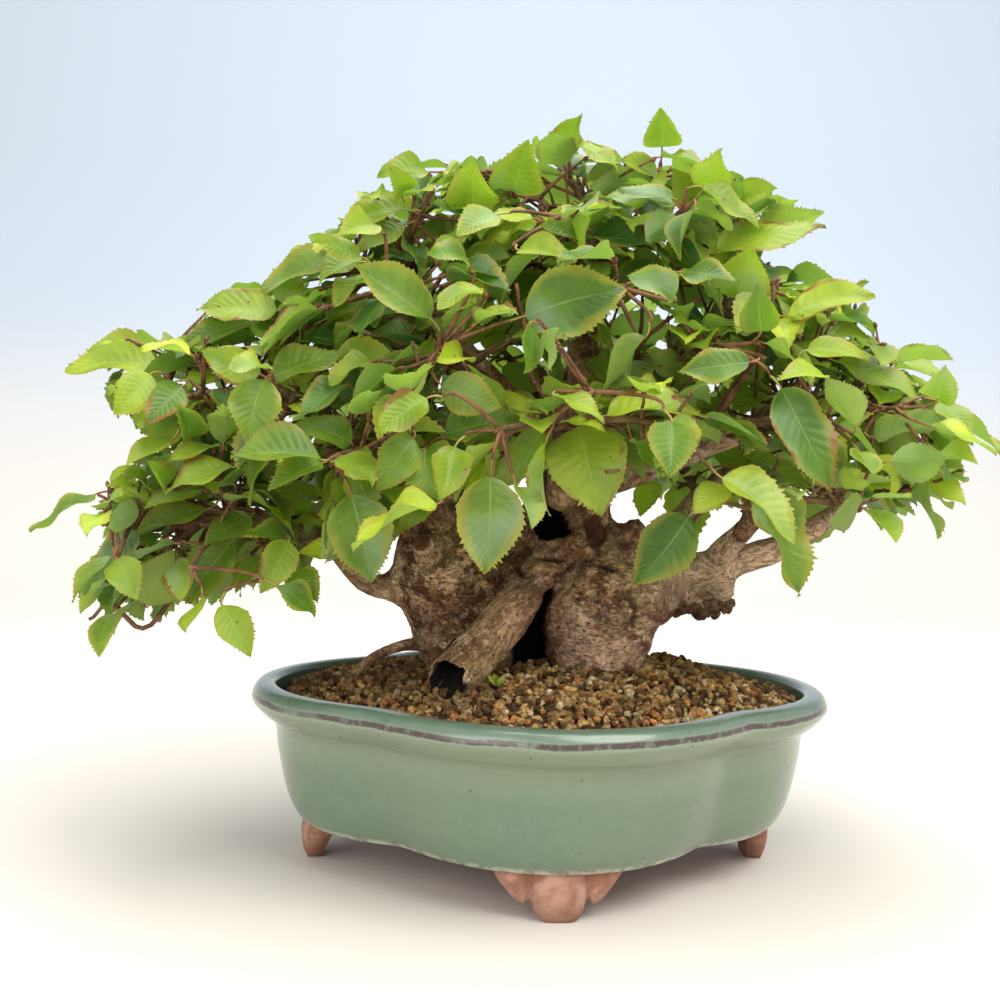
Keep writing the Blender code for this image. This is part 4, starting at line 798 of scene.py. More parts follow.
def grow_shoots(foliage, sheet):
    """Side shoots on every spray, with leaves left and right, kept off the leaves already there."""
    for order, (name, run) in enumerate(foliage.runs.items()):
        rng = random.Random(SEED + SEED_STRIDE * LEAVES_PER_SPRAY + order)
        for index in range(SHOOTS_PER_SPRAY):
            place = (index + rng.uniform(*SHOOT_PLACES)) / SHOOTS_PER_SPRAY * (len(run) - 1)
            root, along = on_line([p for p, _ in run], place)
            around = Matrix.Rotation(rng.uniform(0, math.tau), 3, along)
            turn = rng.uniform(*SHOOT_TURN)
            out = around @ along.orthogonal().normalized()
            heading = along * math.cos(turn) + out * math.sin(turn)
            length = rng.uniform(*SHOOT_LENGTHS)
            points = zigzag(rng, root, heading, length, SHOOT_PARTS, SHOOT_SWAY)
            leaf_shoot(foliage, sheet, rng, name, points)


def twig_samples(foliage):
    """Points along every twig and shoot, as an array, and the spray that each belongs to."""
    spots, names = [], []
    for name, run in foliage.runs.items():
        for line in ([p for p, _ in run], *foliage.shoots[name]):
            for a, b in zip(line, line[1:]):
                for k in range(max(int((b - a).length / GAP_SAMPLE), 1)):
                    spots.append(tuple(a.lerp(b, k * GAP_SAMPLE / (b - a).length)))
                    names.append(name)
    return np.array(spots), names


def grow_into_gaps(foliage, sheet):
    """Shoots toward every cell of the sheet where no leaf is seen yet."""
    rng = random.Random(SEED)
    eye = np.array(VIEWPOINT)
    cells = list(zip(*np.nonzero(sheet.inside & np.isinf(sheet.nearest))))
    rng.shuffle(cells)
    spots, names = twig_samples(foliage)
    for row, column in cells:
        if sheet.filled[row, column]:
            continue
        ahead = np.array(sight((column + 0.5) * VIEW_CELL, (row + 0.5) * VIEW_CELL))
        distance = (spots - eye) @ ahead
        off = np.linalg.norm(spots - eye - distance[:, None] * ahead, axis=1)
        cost = off + np.array([rng.random() * GAP_SCATTER for _ in names])
        for pick in np.argsort(cost)[:GAP_CHOICES]:
            if off[pick] > GAP_REACH:
                continue
            root = Vector(spots[pick])
            target = Vector(eye + ahead * (distance[pick] + rng.uniform(*GAP_DEPTHS)))
            line = target - root
            if line.length < SHORTEST_GAP_SHOOT:
                line = line.normalized() * SHORTEST_GAP_SHOOT
            points = zigzag(rng, root, line.normalized(), line.length, SHOOT_PARTS, SHOOT_SWAY)
            if leaf_shoot(foliage, sheet, rng, names[pick], points):
                break


def shoot_leaf_choice(rng, foot, along, side, turns):
    """Base, tip, facing and width of the next leaf to try on a shoot."""
    swing, outward = rng.uniform(*turns), outward_of(foot)
    heading = along * math.cos(swing) + side * math.sin(swing)
    heading += outward * SHOOT_LEAF_OUT
    heading.z -= rng.uniform(*SHOOT_LEAF_HANG)
    heading.normalize()
    rise = (heading + along / 2 + UP * SHOOT_STALK_RISE).normalized()
    base = foot + rise * rng.uniform(*SHOOT_LEAF_STALK)
    tip = base + heading * rng.uniform(*SHOOT_LEAF_LENGTHS)
    facing = UP + outward * rng.uniform(*SHOOT_LEAF_FACING)
    facing += scattered(rng, SHOOT_LEAF_SCATTER)
    return base, tip, facing, rng.uniform(*SHOOT_LEAF_WIDTHS)


def leaf_shoot(foliage, sheet, rng, name, points):
    """Leaves on one shoot. The shoot is kept as far as its last leaf, if it has any."""
    whole = sum([(b - a).length for a, b in zip(points, points[1:])])
    count = max(int(whole / INTERNODE), 1)
    last = 0
    for index in range(count + 1):
        share = min((index + FIRST_LEAF) / (count + FIRST_LEAF), 1)
        foot, along = on_line(points, share * (len(points) - 1))
        if near_wood([foot], SHOOT_BERTH):
            break
        side = along.cross(UP).normalized() * (1 if index % 2 else -1)
        turns = SHOOT_LEAF_TURN if index < count else SHOOT_END_TURN
        for _ in range(SHOOT_LEAF_TRIES):
            base, tip, facing, width = shoot_leaf_choice(rng, foot, along, side, turns)
            spots = blade_grid(base, tip, facing, width)
            if sheet.spoils(spots) or near_wood(spots, SHOOT_LEAF_BERTH) or tip.z < LOWEST_LEAF:
                continue
            if foliage.crowd.hit(None, *plain_leaf(base, tip, facing, width)):
                continue
            foliage.keep(name, foot, base, tip, facing, width, fine=False)
            sheet.fill(spots)
            last = share
            break
    if last:
        keep = max(math.ceil(last * (len(points) - 1)), 1)
        foliage.shoots[name].append(points[:keep + 1])
    return last > 0


# Meshes as arrays.
class Pile:
    """Points, faces, finishes and marks of many small shapes, gathered into one mesh."""

    def __init__(self):
        self.points, self.faces, self.finishes, self.marks = [], [], [], {}
        self.count = 0

    def add(self, points, faces, finish=0, **marks):
        points = np.asarray(points, float).reshape(-1, 3)
        self.points.append(points)
        self.faces.append(np.asarray(faces) + self.count)
        self.finishes.append(np.full(len(faces), finish))
        for name, value in marks.items():
            spread = np.broadcast_to(np.asarray(value, float), (len(points), 3))
            self.marks.setdefault(name, []).append(spread)
        self.count += len(points)

    def made(self, name, *materials):
        """The gathered mesh as an object, moved to the pot's place and riding on the frame."""
        points = np.concatenate(self.points)
        faces = np.concatenate(self.faces)
        mesh = bpy.data.meshes.new(name)
        mesh.from_pydata((points * MM).tolist(), [], faces.tolist())
        mesh.polygons.foreach_set("material_index", np.concatenate(self.finishes).astype(np.int32))
        for mark, values in self.marks.items():
            layer = mesh.attributes.new(mark, "FLOAT_VECTOR", "POINT")
            layer.data.foreach_set("vector", np.concatenate(values).astype(np.float32).ravel())
        return piece(name, mesh, *materials)


def piece(name, mesh, *materials):
    """A finished mesh as an object, moved to the pot's place and riding on the frame."""
    made = bpy.data.objects.new(name, mesh)
    bpy.context.scene.collection.objects.link(made)
    made.location = POT_PLACE
    for finish in materials:
        mesh.materials.append(finish)
    mesh.shade_smooth()
    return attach(made, BODY)


def unit(vectors):
    return vectors / np.maximum(np.linalg.norm(vectors, axis=-1, keepdims=True), 1e-9)


def soft_noise(points, seed=0):
    """Smooth noise from -1 to 1 at each point, one swell to a unit."""
    points = np.asarray(points, float)
    cell = np.floor(points).astype(np.int64)
    part = points - cell
    blend = part * part * (3 - 2 * part)
    total = np.zeros(points.shape[:-1])
    for corner in itertools.product((0, 1), repeat=3):
        at = cell + np.array(corner)
        key = at[..., 0] * 73856093 ^ at[..., 1] * 19349663 ^ at[..., 2] * 83492791 ^ seed * 2971215073
        key = (key ^ (key >> 13)) * 1274126177
        value = ((key ^ (key >> 16)) & 0xFFFF) / 32767.5 - 1
        weight = np.where(np.array(corner, bool), blend, 1 - blend).prod(-1)
        total += value * weight
    return total


def smooth_step(value, low, high):
    share = np.clip((value - low) / (high - low), 0, 1)
    return share * share * (3 - 2 * share)


def tube(points, radii, sides=8):
    """Points and triangles of a round tube through points, closed at both ends."""
    points = np.array([tuple(p) for p in points], float)
    radii = np.asarray(radii, float)
    ahead = unit(np.gradient(points, axis=0))
    side = np.cross(ahead[0], (0.3, 0.2, 1.0))
    sides_at, rings = [], []
    for k in range(len(points)):
        side = side - ahead[k] * side.dot(ahead[k])
        side = side / np.linalg.norm(side)
        sides_at.append(side)
        over = np.cross(ahead[k], side)
        turn = np.arange(sides) * math.tau / sides
        ring = np.outer(np.cos(turn), side) + np.outer(np.sin(turn), over)
        rings.append(points[k] + ring * radii[k])
    shape = np.concatenate([*rings, points[:1], points[-1:]])
    faces = []
    last = len(shape) - 1
    for k in range(len(points) - 1):
        for i in range(sides):
            j = (i + 1) % sides
            a, b, c, d = k * sides + i, k * sides + j, (k + 1) * sides + j, (k + 1) * sides + i
            faces += [(a, b, c), (a, c, d)]
    top = (len(points) - 1) * sides
    for i in range(sides):
        j = (i + 1) % sides
        faces += [(j, i, last - 1), (top + i, top + j, last)]
    return shape, np.array(faces)


def blade_form(veins, rows_per_vein, half_columns):
    """A blade's flat grid: share along, half width, vein, share across, tooth, and its triangles."""
    rows = veins * rows_per_vein
    starts = np.arange(1, rows) / rows
    ends = starts + VEIN_SWEEP * starts * (1 - starts)
    across = np.array([-c for c in half_columns[:0:-1]] + list(half_columns))
    part = np.abs(across)
    along = starts[:, None] + (ends - starts)[:, None] * part ** 1.15
    half = outline_width(ends)[:, None] * across
    phase = np.arange(1, rows) % rows_per_vein
    fade = smooth_step(ends, 0.06, 0.2) * (1 - smooth_step(ends, 0.93, 1.0))
    tooth = np.where(phase == 0, 1.0, np.where(phase == rows_per_vein // 2, 0.35, -0.35)) * fade
    edge = part >= 1
    tooth = np.sign(across) * edge * tooth[:, None]
    vein = np.arange(1, rows)[:, None] / rows_per_vein + 0 * across
    count = len(across)
    flat = [np.concatenate([[first], grid.ravel(), [last]])
            for grid, first, last in ((along, 0, 1), (half, 0, 0), (vein, 0, veins),
                                      (np.broadcast_to(across, along.shape), 0, 0), (tooth, 0, 0))]
    faces = []
    for k in range(rows - 2):
        for i in range(count - 1):
            a = 1 + k * count + i
            faces += [(a, a + 1, a + 1 + count), (a, a + 1 + count, a + count)]
    end = 1 + (rows - 1) * count
    faces += [(0, 1 + i + 1, 1 + i) for i in range(count - 1)]
    faces += [(end, end - count + i, end - count + i + 1) for i in range(count - 1)]
    return (*flat, np.array(faces))


FINE_BLADE = blade_form(VEINS, ROWS_PER_VEIN, HALF_COLUMNS)
SMALL_BLADE = blade_form(SMALL_VEINS, SMALL_ROWS_PER_VEIN, SMALL_HALF_COLUMNS)


def add_blade(pile, rng, base, tip, facing, width, tone, brown, fine):
    """One leaf blade: folded along its midrib, drooping, pleated between its veins and toothed."""
    share, half, vein, across, tooth, faces = FINE_BLADE if fine else SMALL_BLADE
    base, tip, facing = (np.array(tuple(v), float) for v in (base, tip, facing))
    length = np.linalg.norm(tip - base)
    along = (tip - base) / length
    side = unit(np.cross(along, facing))
    up = np.cross(side, along)
    sizes = np.array([rng.uniform(0.1, 1.5) for _ in range(4 * VEINS + 4)])
    tooth = tooth * sizes[np.round(vein * 2).astype(int) + (across > 0) * (2 * VEINS + 2)]
    share = share + np.abs(tooth) * TOOTH_ON * np.sign(tooth * across)
    ragged = soft_noise(np.stack([share * 9, np.sign(across), share * 0 + rng.uniform(0, 99)], -1))
    out = (half + tooth * TOOTH_OUT) * width * length / 2 * (1 + RAGGED * ragged * np.abs(across))
    fold = LEAF_FOLD * rng.uniform(0.3, 2.8)
    droop = LEAF_DROOP * rng.uniform(0.4, 2.2)
    lift = np.abs(out) * fold - length * droop * (share * share - share * LEAF_ARCH)
    pleat = np.cos(math.tau * vein) * np.sin(np.pi * np.clip(np.abs(across), 0, 1)) ** 0.7
    lift = lift - pleat * PLEAT * length * rng.uniform(0.6, 1.3) * 0.8
    wave = rng.uniform(0.02, 0.09) * length
    turn = rng.uniform(0, math.tau)
    lift = lift + wave * np.abs(across) ** 2 * np.sin(math.tau * share * rng.uniform(0.8, 1.8) + turn
                                                      + np.sign(across) * rng.uniform(0, 2))
    twist = rng.gauss(0, 0.12) * share
    lift = lift + out * np.sin(twist)
    sway = rng.gauss(0, 0.05) * length * share * (1 - share) * 2
    points = base + np.outer(share * length, along) + np.outer(out + sway, side) + np.outer(lift, up)
    pile.add(points, faces, 1, blade=np.stack([across, vein, share], -1),
             leaf=(tone, brown, rng.random()))


def curved_line(start, bend, end, parts):
    t = np.linspace(0, 1, parts + 1)[:, None]
    start, bend, end = (np.array(tuple(v), float) for v in (start, bend, end))
    return start * (1 - t) ** 2 + bend * 2 * t * (1 - t) + end * t * t


def add_stalk(pile, foot, base, tip):
    """The thin stalk from the twig to the blade, on a side twig of its own where that is far."""
    along = (tip - base).normalized()
    reach = (base - foot).length
    if reach > LONGEST_BARE_STALK:
        bend = base - along * reach * 0.4
        joint = base - (along + (base - foot).normalized()).normalized() * BARE_STALK
        line = curved_line(foot, bend, joint, 7)
        pile.add(*tube(line, np.linspace(0.85, 0.5, len(line)), 6), finish=0, blade=(0, 0, 0),
                 leaf=(0.7, 0, 0))
        foot, reach = joint, BARE_STALK
    line = curved_line(foot, base - along * reach * 0.45, base + along * 0.6, 4)
    radii = np.linspace(0.5, 0.32, len(line))
    pile.add(*tube(line, radii, 4), finish=2, blade=(0, 0, 0), leaf=(0, 0, 0))


def add_bud(pile, rng, foot, toward):
    """A small pointed bud."""
    heading = (toward.normalized() + Vector([rng.uniform(-0.4, 0.4) for _ in range(3)])).normalized()
    size = rng.uniform(2.2, 3.6)
    line = [foot, foot + heading * size * 0.3, foot + heading * size * 0.65, foot + heading * size]
    pile.add(*tube(line, [0.5, 0.95, 0.75, 0.1], 5), finish=0, blade=(0, 0, 0), leaf=(0.8, 0, 0))


def twig_line(run, name):
    """A spray's twig from the middle of the limb that carries it, with slight bends."""
    limb, share, _ = SPRAYS[name]
    at, _ = along_limb(LIMBS[limb], share)
    first, middle, last = (p for p, _ in run)
    line = np.concatenate([[tuple(at)], curved_line(first, middle * 2 - (first + last) / 2, last, 12)])
    shake = np.stack([soft_noise(line / 7, seed) for seed in (3, 5, 8)], -1)
    line[1:-1] += shake[1:-1] * 0.55
    radii = np.concatenate([[TWIG_RADIUS * 1.25], np.linspace(TWIG_RADIUS * 1.1, TWIG_TIP_RADIUS, 13)])
    return line, radii


def make_sprays(foliage, looks):
    for order, (name, run) in enumerate(foliage.runs.items()):
        rng = random.Random(SEED_STRIDE * SEED + order)
        pile = Pile()
        line, radii = twig_line(run, name)
        pile.add(*tube(line, radii, 8), finish=0, blade=(0, 0, 0), leaf=(0.2, 0, 0))
        for shoot in foliage.shoots[name]:
            ends = np.linspace(SHOOT_RADIUS, SHOOT_TIP_RADIUS, len(shoot))
            ends *= [rng.uniform(0.85, 1.35) for _ in shoot]
            pile.add(*tube(shoot, ends, 6), finish=0, blade=(0, 0, 0), leaf=(0.6, 0, 0))
            add_bud(pile, rng, shoot[-1], shoot[-1] - shoot[-2])
        for foot, base, tip, facing, width, tone, brown, fine in foliage.leaves[name]:
            add_stalk(pile, foot, base, tip)
            add_bud(pile, rng, foot, base - foot)
            add_blade(pile, rng, base, tip, facing, width, tone, brown, fine and base.y < FINE_TO)
        made = pile.made("foliage_" + name, looks["twig"], looks["leaf"], looks["stalk"])
        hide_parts("spray_" + name)


def make_bare_twigs(looks):
    """Leafless twigs: those that show from the front, pruned short, and grey ones inside the crown."""
    pile = Pile()
    for limb, share, places, thick, age in BARE_TWIGS:
        line = rounded([tuple(along_limb(LIMBS[limb], share)[0]), *places], 6)
        line = line + np.stack([soft_noise(line / 5, seed) for seed in (3, 5, 8)], -1) * 0.5
        radii = np.linspace(thick, thick * 0.6, len(line)) * (1 + 0.12 * soft_noise(line / 2.5, 9))
        pile.add(*tube(line, radii, 8), leaf=(age, 0, 0))
    rng = random.Random(SEED)
    for _ in range(INNER_TWIGS):
        limb = rng.choice([name for name in LIMBS if name != "surface_root"])
        at, ahead = along_limb(LIMBS[limb], rng.uniform(0.25, 0.8))
        bend = Vector([rng.gauss(0, 0.8), rng.gauss(0, 0.8), rng.gauss(0.4, 0.5)])
        heading = (ahead + bend).normalized()
        line = zigzag(rng, at, heading, rng.uniform(*INNER_LENGTHS), 7, 0.3)
        line = np.array([tuple(p) for p in line])
        pile.add(*tube(line, np.linspace(1.4, 0.6, len(line)), 6), leaf=(rng.uniform(-0.3, 0.4), 0, 0))
    pile.made("bare_twigs", looks["twig"])


def make_sprout(looks):
    """A seedling in the soil: a few short narrow blades."""
    pile, rng = Pile(), random.Random(SEED)
    for turn in SPROUT_TURNS:
        heading = Vector((math.cos(turn), math.sin(turn), 1.3)).normalized()
        foot = Vector(SPROUT)
        tip = foot + heading * SPROUT_LENGTH
        add_blade(pile, rng, foot, tip, Vector((0, -1, 0.5)), 0.3, 0.6, 0, False)
    pile.made("sprout", looks["leaf"], looks["leaf"])


# Pot.
def lobe_reach(angle, inset):
    """Distance from the pot's middle to its wall, for a wall set in from the lip."""
    across, along = np.abs(np.cos(angle)), np.abs(np.sin(angle))

    def ray(part, other, centre, radius):
        return part * centre + np.sqrt(np.maximum(radius * radius - (other * centre) ** 2, 0))

    side = ray(across, along, SIDE_LOBE_CENTRE, SIDE_LOBE_RADIUS - inset)
    front = ray(along, across, FRONT_LOBE_CENTRE, FRONT_LOBE_RADIUS - inset)
    gap = np.abs(side - front) * NOTCH_SHARPNESS
    return np.maximum(side, front) + np.log1p(np.exp(-gap)) / NOTCH_SHARPNESS


def rounded(points, steps):
    """A smooth line through points, which passes each of them."""
    points = np.array(points, float)
    padded = np.concatenate([2 * points[:1] - points[1:2], points, 2 * points[-1:] - points[-2:-1]])
    line = []
    for k in range(1, len(padded) - 2):
        before, a, b, after = padded[k - 1:k + 3]
        for t in np.arange(steps) / steps:
            line.append(0.5 * (2 * a + (b - before) * t + (2 * before - 5 * a + 4 * b - after) * t * t
                               + (3 * a - before - 3 * b + after) * t ** 3))
    return np.array(line + [points[-1]])


def grid_faces(rows, columns, around=True):
    """Triangles of a grid of points, whose columns close up where it goes round."""
    faces = []
    for k in range(rows - 1):
        for i in range(columns if around else columns - 1):
            j = (i + 1) % columns
            a, b, c, d = k * columns + i, k * columns + j, (k + 1) * columns + j, (k + 1) * columns + i
            faces += [(a, b, c), (a, c, d)]
    return faces


def make_pot(looks):
    """The glazed body, open at its drains, and the four unglazed cloud feet."""
    profile = rounded(POT_PROFILE, PROFILE_STEPS)
    turns = np.arange(POT_SEGMENTS) * math.tau / POT_SEGMENTS
    points = []
    for inset, height in profile:
        reach = lobe_reach(turns, inset)
        points.append(np.stack([reach * np.cos(turns), reach * np.sin(turns),
                                np.full(POT_SEGMENTS, height)], -1))
    points = np.concatenate(points)
    points += 0.18 * soft_noise(points / 22)[:, None]
    faces = grid_faces(len(profile), POT_SEGMENTS)
    pile = Pile()
    step = np.linalg.norm(np.diff(profile, axis=0, prepend=profile[:1]), axis=1).cumsum()
    pile.add(points, faces, rise=np.stack([np.repeat(step, POT_SEGMENTS)] * 3, -1))
    add_floor(pile, points[:POT_SEGMENTS], False)
    add_floor(pile, points[-POT_SEGMENTS:], True)
    body = pile.made("pot_glazed_body", looks["glaze"])
    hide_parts("pot")
    feet = Pile()
    for quarter in range(4):
        add_foot(feet, quarter * math.pi / 2)
    made = feet.made("pot_cloud_feet", looks["clay"])
    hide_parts("pot")


def add_floor(pile, edge, upward):
    """The pot's floor inside one edge ring, with its two round drains left open."""
    shape = bmesh.new()
    ring = [shape.verts.new(p) for p in edge]
    edges = [shape.edges.new((a, b)) for a, b in zip(ring, ring[1:] + ring[:1])]
    for x in (-DRAIN_X, DRAIN_X):
        turns = np.arange(32) * math.tau / 32
        hole = [shape.verts.new((x + DRAIN_RADIUS * math.cos(t), DRAIN_RADIUS * math.sin(t), edge[0][2]))
                for t in turns]
        edges += [shape.edges.new((a, b)) for a, b in zip(hole, hole[1:] + hole[:1])]
    bmesh.ops.triangle_fill(shape, use_beauty=True, edges=edges)
    shape.normal_update()
    for face in shape.faces:
        if (face.normal.z > 0) != upward:
            face.normal_flip()
    shape.verts.index_update()
    points = [tuple(v.co) for v in shape.verts]
    faces = [tuple(v.index for v in face.verts) for face in shape.faces]
    shape.free()
    pile.add(points, faces, rise=(0, 0, 0))


def add_foot(pile, angle):
    """One cloud-shaped foot: a curved plate with rounded toes and a curl at each side."""
    columns = rounded(FOOT_COLUMNS, FOOT_STEPS)
    middle = float(lobe_reach(np.array(angle), FOOT_INSET))
    on_long_side = abs(math.sin(angle)) > abs(math.cos(angle))
    radius = (FRONT_LOBE_RADIUS if on_long_side else SIDE_LOBE_RADIUS) - FOOT_INSET
    centre = np.array((math.cos(angle), math.sin(angle), 0)) * (middle - radius)
    rows = np.linspace(0, 1, FOOT_ROWS)
    rings = []
    for along, low, bulge in columns:
        low = max(low, 0)
        turn = angle + along / radius
        out = np.array((math.cos(turn), math.sin(turn), 0))
        up = np.array((0, 0, 1.0))
        swell = np.sin(np.pi * rows) ** 0.8 * (0.9 + bulge * 0.25) - 1.2 * rows ** 3
        face = [centre + out * (radius + bulge + s) + up * (FOOT_TOP + (low - FOOT_TOP) * r)
                for r, s in zip(rows, swell)]
        back = [centre + out * (radius - FOOT_THICKNESS + 1.5 * r) + up * (FOOT_TOP + (low - FOOT_TOP) * r)
                for r in rows[::-1]]
        rings.append(face + back)
    count = len(rings[0])
    points = np.array(rings).reshape(-1, 3)
    points += 0.25 * soft_noise(points / 3.5)[:, None]
    points[:, 2] = np.clip(points[:, 2], 0, None)
    faces = grid_faces(len(rings), count)
    ends = [points[:count].mean(0), points[-count:].mean(0)]
    first, last = len(points), len(points) + 1
    start = (len(rings) - 1) * count
    faces += [(first, (i + 1) % count, i) for i in range(count)]
    faces += [(last, start + i, start + (i + 1) % count) for i in range(count)]
    pile.add(np.concatenate([points, ends]), faces)


# Wood.
def applied(obj):
    """The object's mesh with its modifiers, and the object removed."""
    graph = bpy.context.evaluated_depsgraph_get()
    mesh = bpy.data.meshes.new_from_object(obj.evaluated_get(graph))
    bpy.data.objects.remove(obj)
    return mesh


def melted(tubes, cell, rounds):
    """Tubes melted into one skin."""
    pile = Pile()
    for points, faces in tubes:
        pile.add(points, faces)
    made = pile.made("melted")
    made.location = (0, 0, 0)
    melt = made.modifiers.new("melt", "REMESH")
    melt.mode = "VOXEL"
    melt.voxel_size = cell * MM
    settle = made.modifiers.new("settle", "SMOOTH")
    settle.factor = SETTLE
    settle.iterations = rounds
    mesh = applied(made)
    points = np.empty(len(mesh.vertices) * 3)
    mesh.vertices.foreach_get("co", points)
    mesh.calc_loop_triangles()
    faces = np.empty(len(mesh.loop_triangles) * 3, np.int32)
    mesh.loop_triangles.foreach_get("vertices", faces)
    normals = np.empty(len(mesh.vertices) * 3)
    mesh.vertex_normals.foreach_get("vector", normals)
    return points.reshape(-1, 3) / MM, faces.reshape(-1, 3), normals.reshape(-1, 3)


def domed(limb):
    """A limb's points and radii with rounded ends."""
    points, radii = [np.array(s[:3], float) for s in limb], [s[3] for s in limb]
    ahead, behind = unit(points[-1] - points[-2]), unit(points[0] - points[1])
    points = [points[0] + behind * radii[0] * 0.6, *points, points[-1] + ahead * radii[-1] * 0.6]
    return points, [radii[0] * 0.55, *radii, radii[-1] * 0.55]


def smooth_limb(limb, steps=4):
    line = rounded(limb, steps)
    return line[:, :3], line[:, 3]


def wood_guides(points):
    """For each point of the wood: distance along its limb, offset from its middle line, and radius."""
    run = WOOD_TO - WOOD_FROM
    long = np.linalg.norm(run, axis=1)
    starts = []
    for limb in (*MASSES.values(), *LIMBS.values()):
        spots = np.array([s[:3] for s in limb], float)
        steps = np.linalg.norm(np.diff(spots, axis=0), axis=1)
        starts += list(np.concatenate([[0], steps.cumsum()[:-1]]))
    starts = np.array(starts)
    along, off, thick = (np.empty(shape) for shape in (len(points), (len(points), 3), len(points)))
    for first in range(0, len(points), 8000):
        spots = points[first:first + 8000, None, :]
        t = np.clip(((spots - WOOD_FROM) * run).sum(-1) / (run * run).sum(-1), 0, 1)
        apart = spots - WOOD_FROM - run * t[..., None]
        radius = WOOD_FROM_RADIUS + (WOOD_TO_RADIUS - WOOD_FROM_RADIUS) * t
        gap = np.linalg.norm(apart, axis=-1) - radius
        weight = np.exp(-(gap - gap.min(1, keepdims=True)) / 1.5)
        weight /= weight.sum(1, keepdims=True)
        span = slice(first, first + 8000)
        along[span] = (weight * (starts + t * long)).sum(1)
        off[span] = (weight[..., None] * apart).sum(1)
        thick[span] = (weight * radius).sum(1)
    return along, off, thick


def pressed(points, at, inward, reach, ragged, seed):
    """How much of a hole's depth each point takes, and a mask of the rim, for a ragged round hole."""
    inward = unit(np.array(inward, float))
    apart = points - np.array(at, float)
    deep = apart @ inward
    wide = np.linalg.norm(apart - np.outer(deep, inward), axis=1)
    edge = reach * (1 + ragged * soft_noise(points / 3.2, seed))
    near = np.abs(deep) < reach
    rim = smooth_step(wide, edge * 1.35, edge * 1.05) * smooth_step(wide, edge * 0.8, edge)
    return (1 - smooth_step(wide, edge * 0.74, edge)) * near, rim * near


def grooved(points, line):
    """How deep in a groove on the front each point lies, from 0 to 1."""
    most = np.zeros(len(points))
    line = np.array(line, float)
    wander = np.stack([soft_noise(points / 4, seed) for seed in (9, 10)], -1)
    flat = points[:, [0, 2]] + 0.9 * wander
    for a, b in zip(line, line[1:]):
        run = b[:2] - a[:2]
        t = np.clip((flat - a[:2]) @ run / (run @ run), 0, 1)
        wide = a[2] + (b[2] - a[2]) * t
        gap = np.linalg.norm(flat - a[:2] - t[:, None] * run, axis=1)
        most = np.maximum(most, 1 - smooth_step(gap, wide * 0.6, wide * 1.4 + 1.1))
    return most * (points[:, 1] < 0)


def wood_skin():
    """Points, triangles and normals of the root base, trunks and limbs as one skin."""
    masses = dict(MASSES, front_root=(*MASSES["front_root"][:-1], LEG_END))
    trunks = [tube(*domed(limb), MASS_SIDES) for limb in masses.values()]
    core, faces, _ = melted(trunks, MASS_CELL, MASS_SETTLE)
    limbs = [tube(*smooth_limb(limb), LIMB_SIDES) for limb in LIMBS.values()]
    return melted([(core, faces), *limbs], BARK_CELL, BARK_SETTLE)


def bark_places(points, along, off, thick):
    """Where the bark's pattern is read: drawn out along the limbs, in level bands on the trunks."""
    massive = smooth_step(thick, *TRUNK_RADII)[:, None]
    lengthwise = off + along[:, None] / GRAIN_STRETCH * GRAIN_SKEW
    return lengthwise * (1 - massive) + points * BAND_STRETCH * massive


def burr_mask(points):
    """How near each point lies to the burr or to the rough stump, from 0 to 1."""
    return np.max([np.exp(-(np.linalg.norm(points - at, axis=1) / reach) ** 2)
                   for at, reach in ((BURR, BURR_REACH), (MOSSY, MOSSY_REACH))], axis=0)


def bark_relief(points, coords, thick, burr):
    """Lumps, ridges and grit of the bark, which grow with the limb, and the rough burr."""
    lumps = soft_noise(points / 11, 1) + soft_noise(points / 5, 2) * 0.5
    ridges = 1 - 2 * np.abs(soft_noise(coords / 3, 3))
    fine, grit = soft_noise(coords / 1.4, 4), soft_noise(points / 1.3, 13)
    size = np.clip(thick / FULL_BARK, LEAST_BARK, 1)
    relief = (lumps * 0.9 + ridges * 0.3 + fine * 0.2 + grit * 0.16) * size
    return relief + burr * (2.0 * soft_noise(points / 3.2, 6) + 1.2 * soft_noise(points / 1.6, 7))


def healed_scar(points):
    """A mask of the healed scar on the front."""
    across = np.hypot(points[:, 0] - SCAR[0], (points[:, 2] - SCAR[1]) * 0.7)
    across = across + soft_noise(points / 3, 17)
    return (1 - smooth_step(across, SCAR_REACH * 0.7, SCAR_REACH)) * (points[:, 1] < -3)


def banded_skirt(points):
    """A mask of the right trunk's lower part, and the height of the bands across it."""
    skirt = smooth_step(points[:, 0], SKIRT_X - 3, SKIRT_X + 5)
    skirt = skirt * smooth_step(points[:, 2], SKIRT_Z, SKIRT_Z - 10)
    down = points @ (SKIRT_SLOPE, 0, 1) + 2 * soft_noise(points / 9, 18)
    x, y = points[:, 0] / BAND_LENGTH, points[:, 1] / BAND_LENGTH
    return skirt, soft_noise(np.stack([x, y, down / BAND], -1), 16)


def openings(points):
    """Masks of the trunk's hole and its rim, of the leg's hollow and its rim, and of its mouth."""
    hole, hole_rim = pressed(points, HOLE, HOLE_INWARD, HOLE_RADIUS, HOLE_RAGGED, 11)
    hollow, rim = pressed(points, HOLLOW, HOLLOW_INWARD, HOLLOW_RADIUS, HOLLOW_RAGGED, 12)
    upper = smooth_step(points[:, 2], HOLLOW[2] - 1, HOLLOW[2] + 3)
    return hole, hole_rim, hollow, rim * upper, rim * (1 - upper)


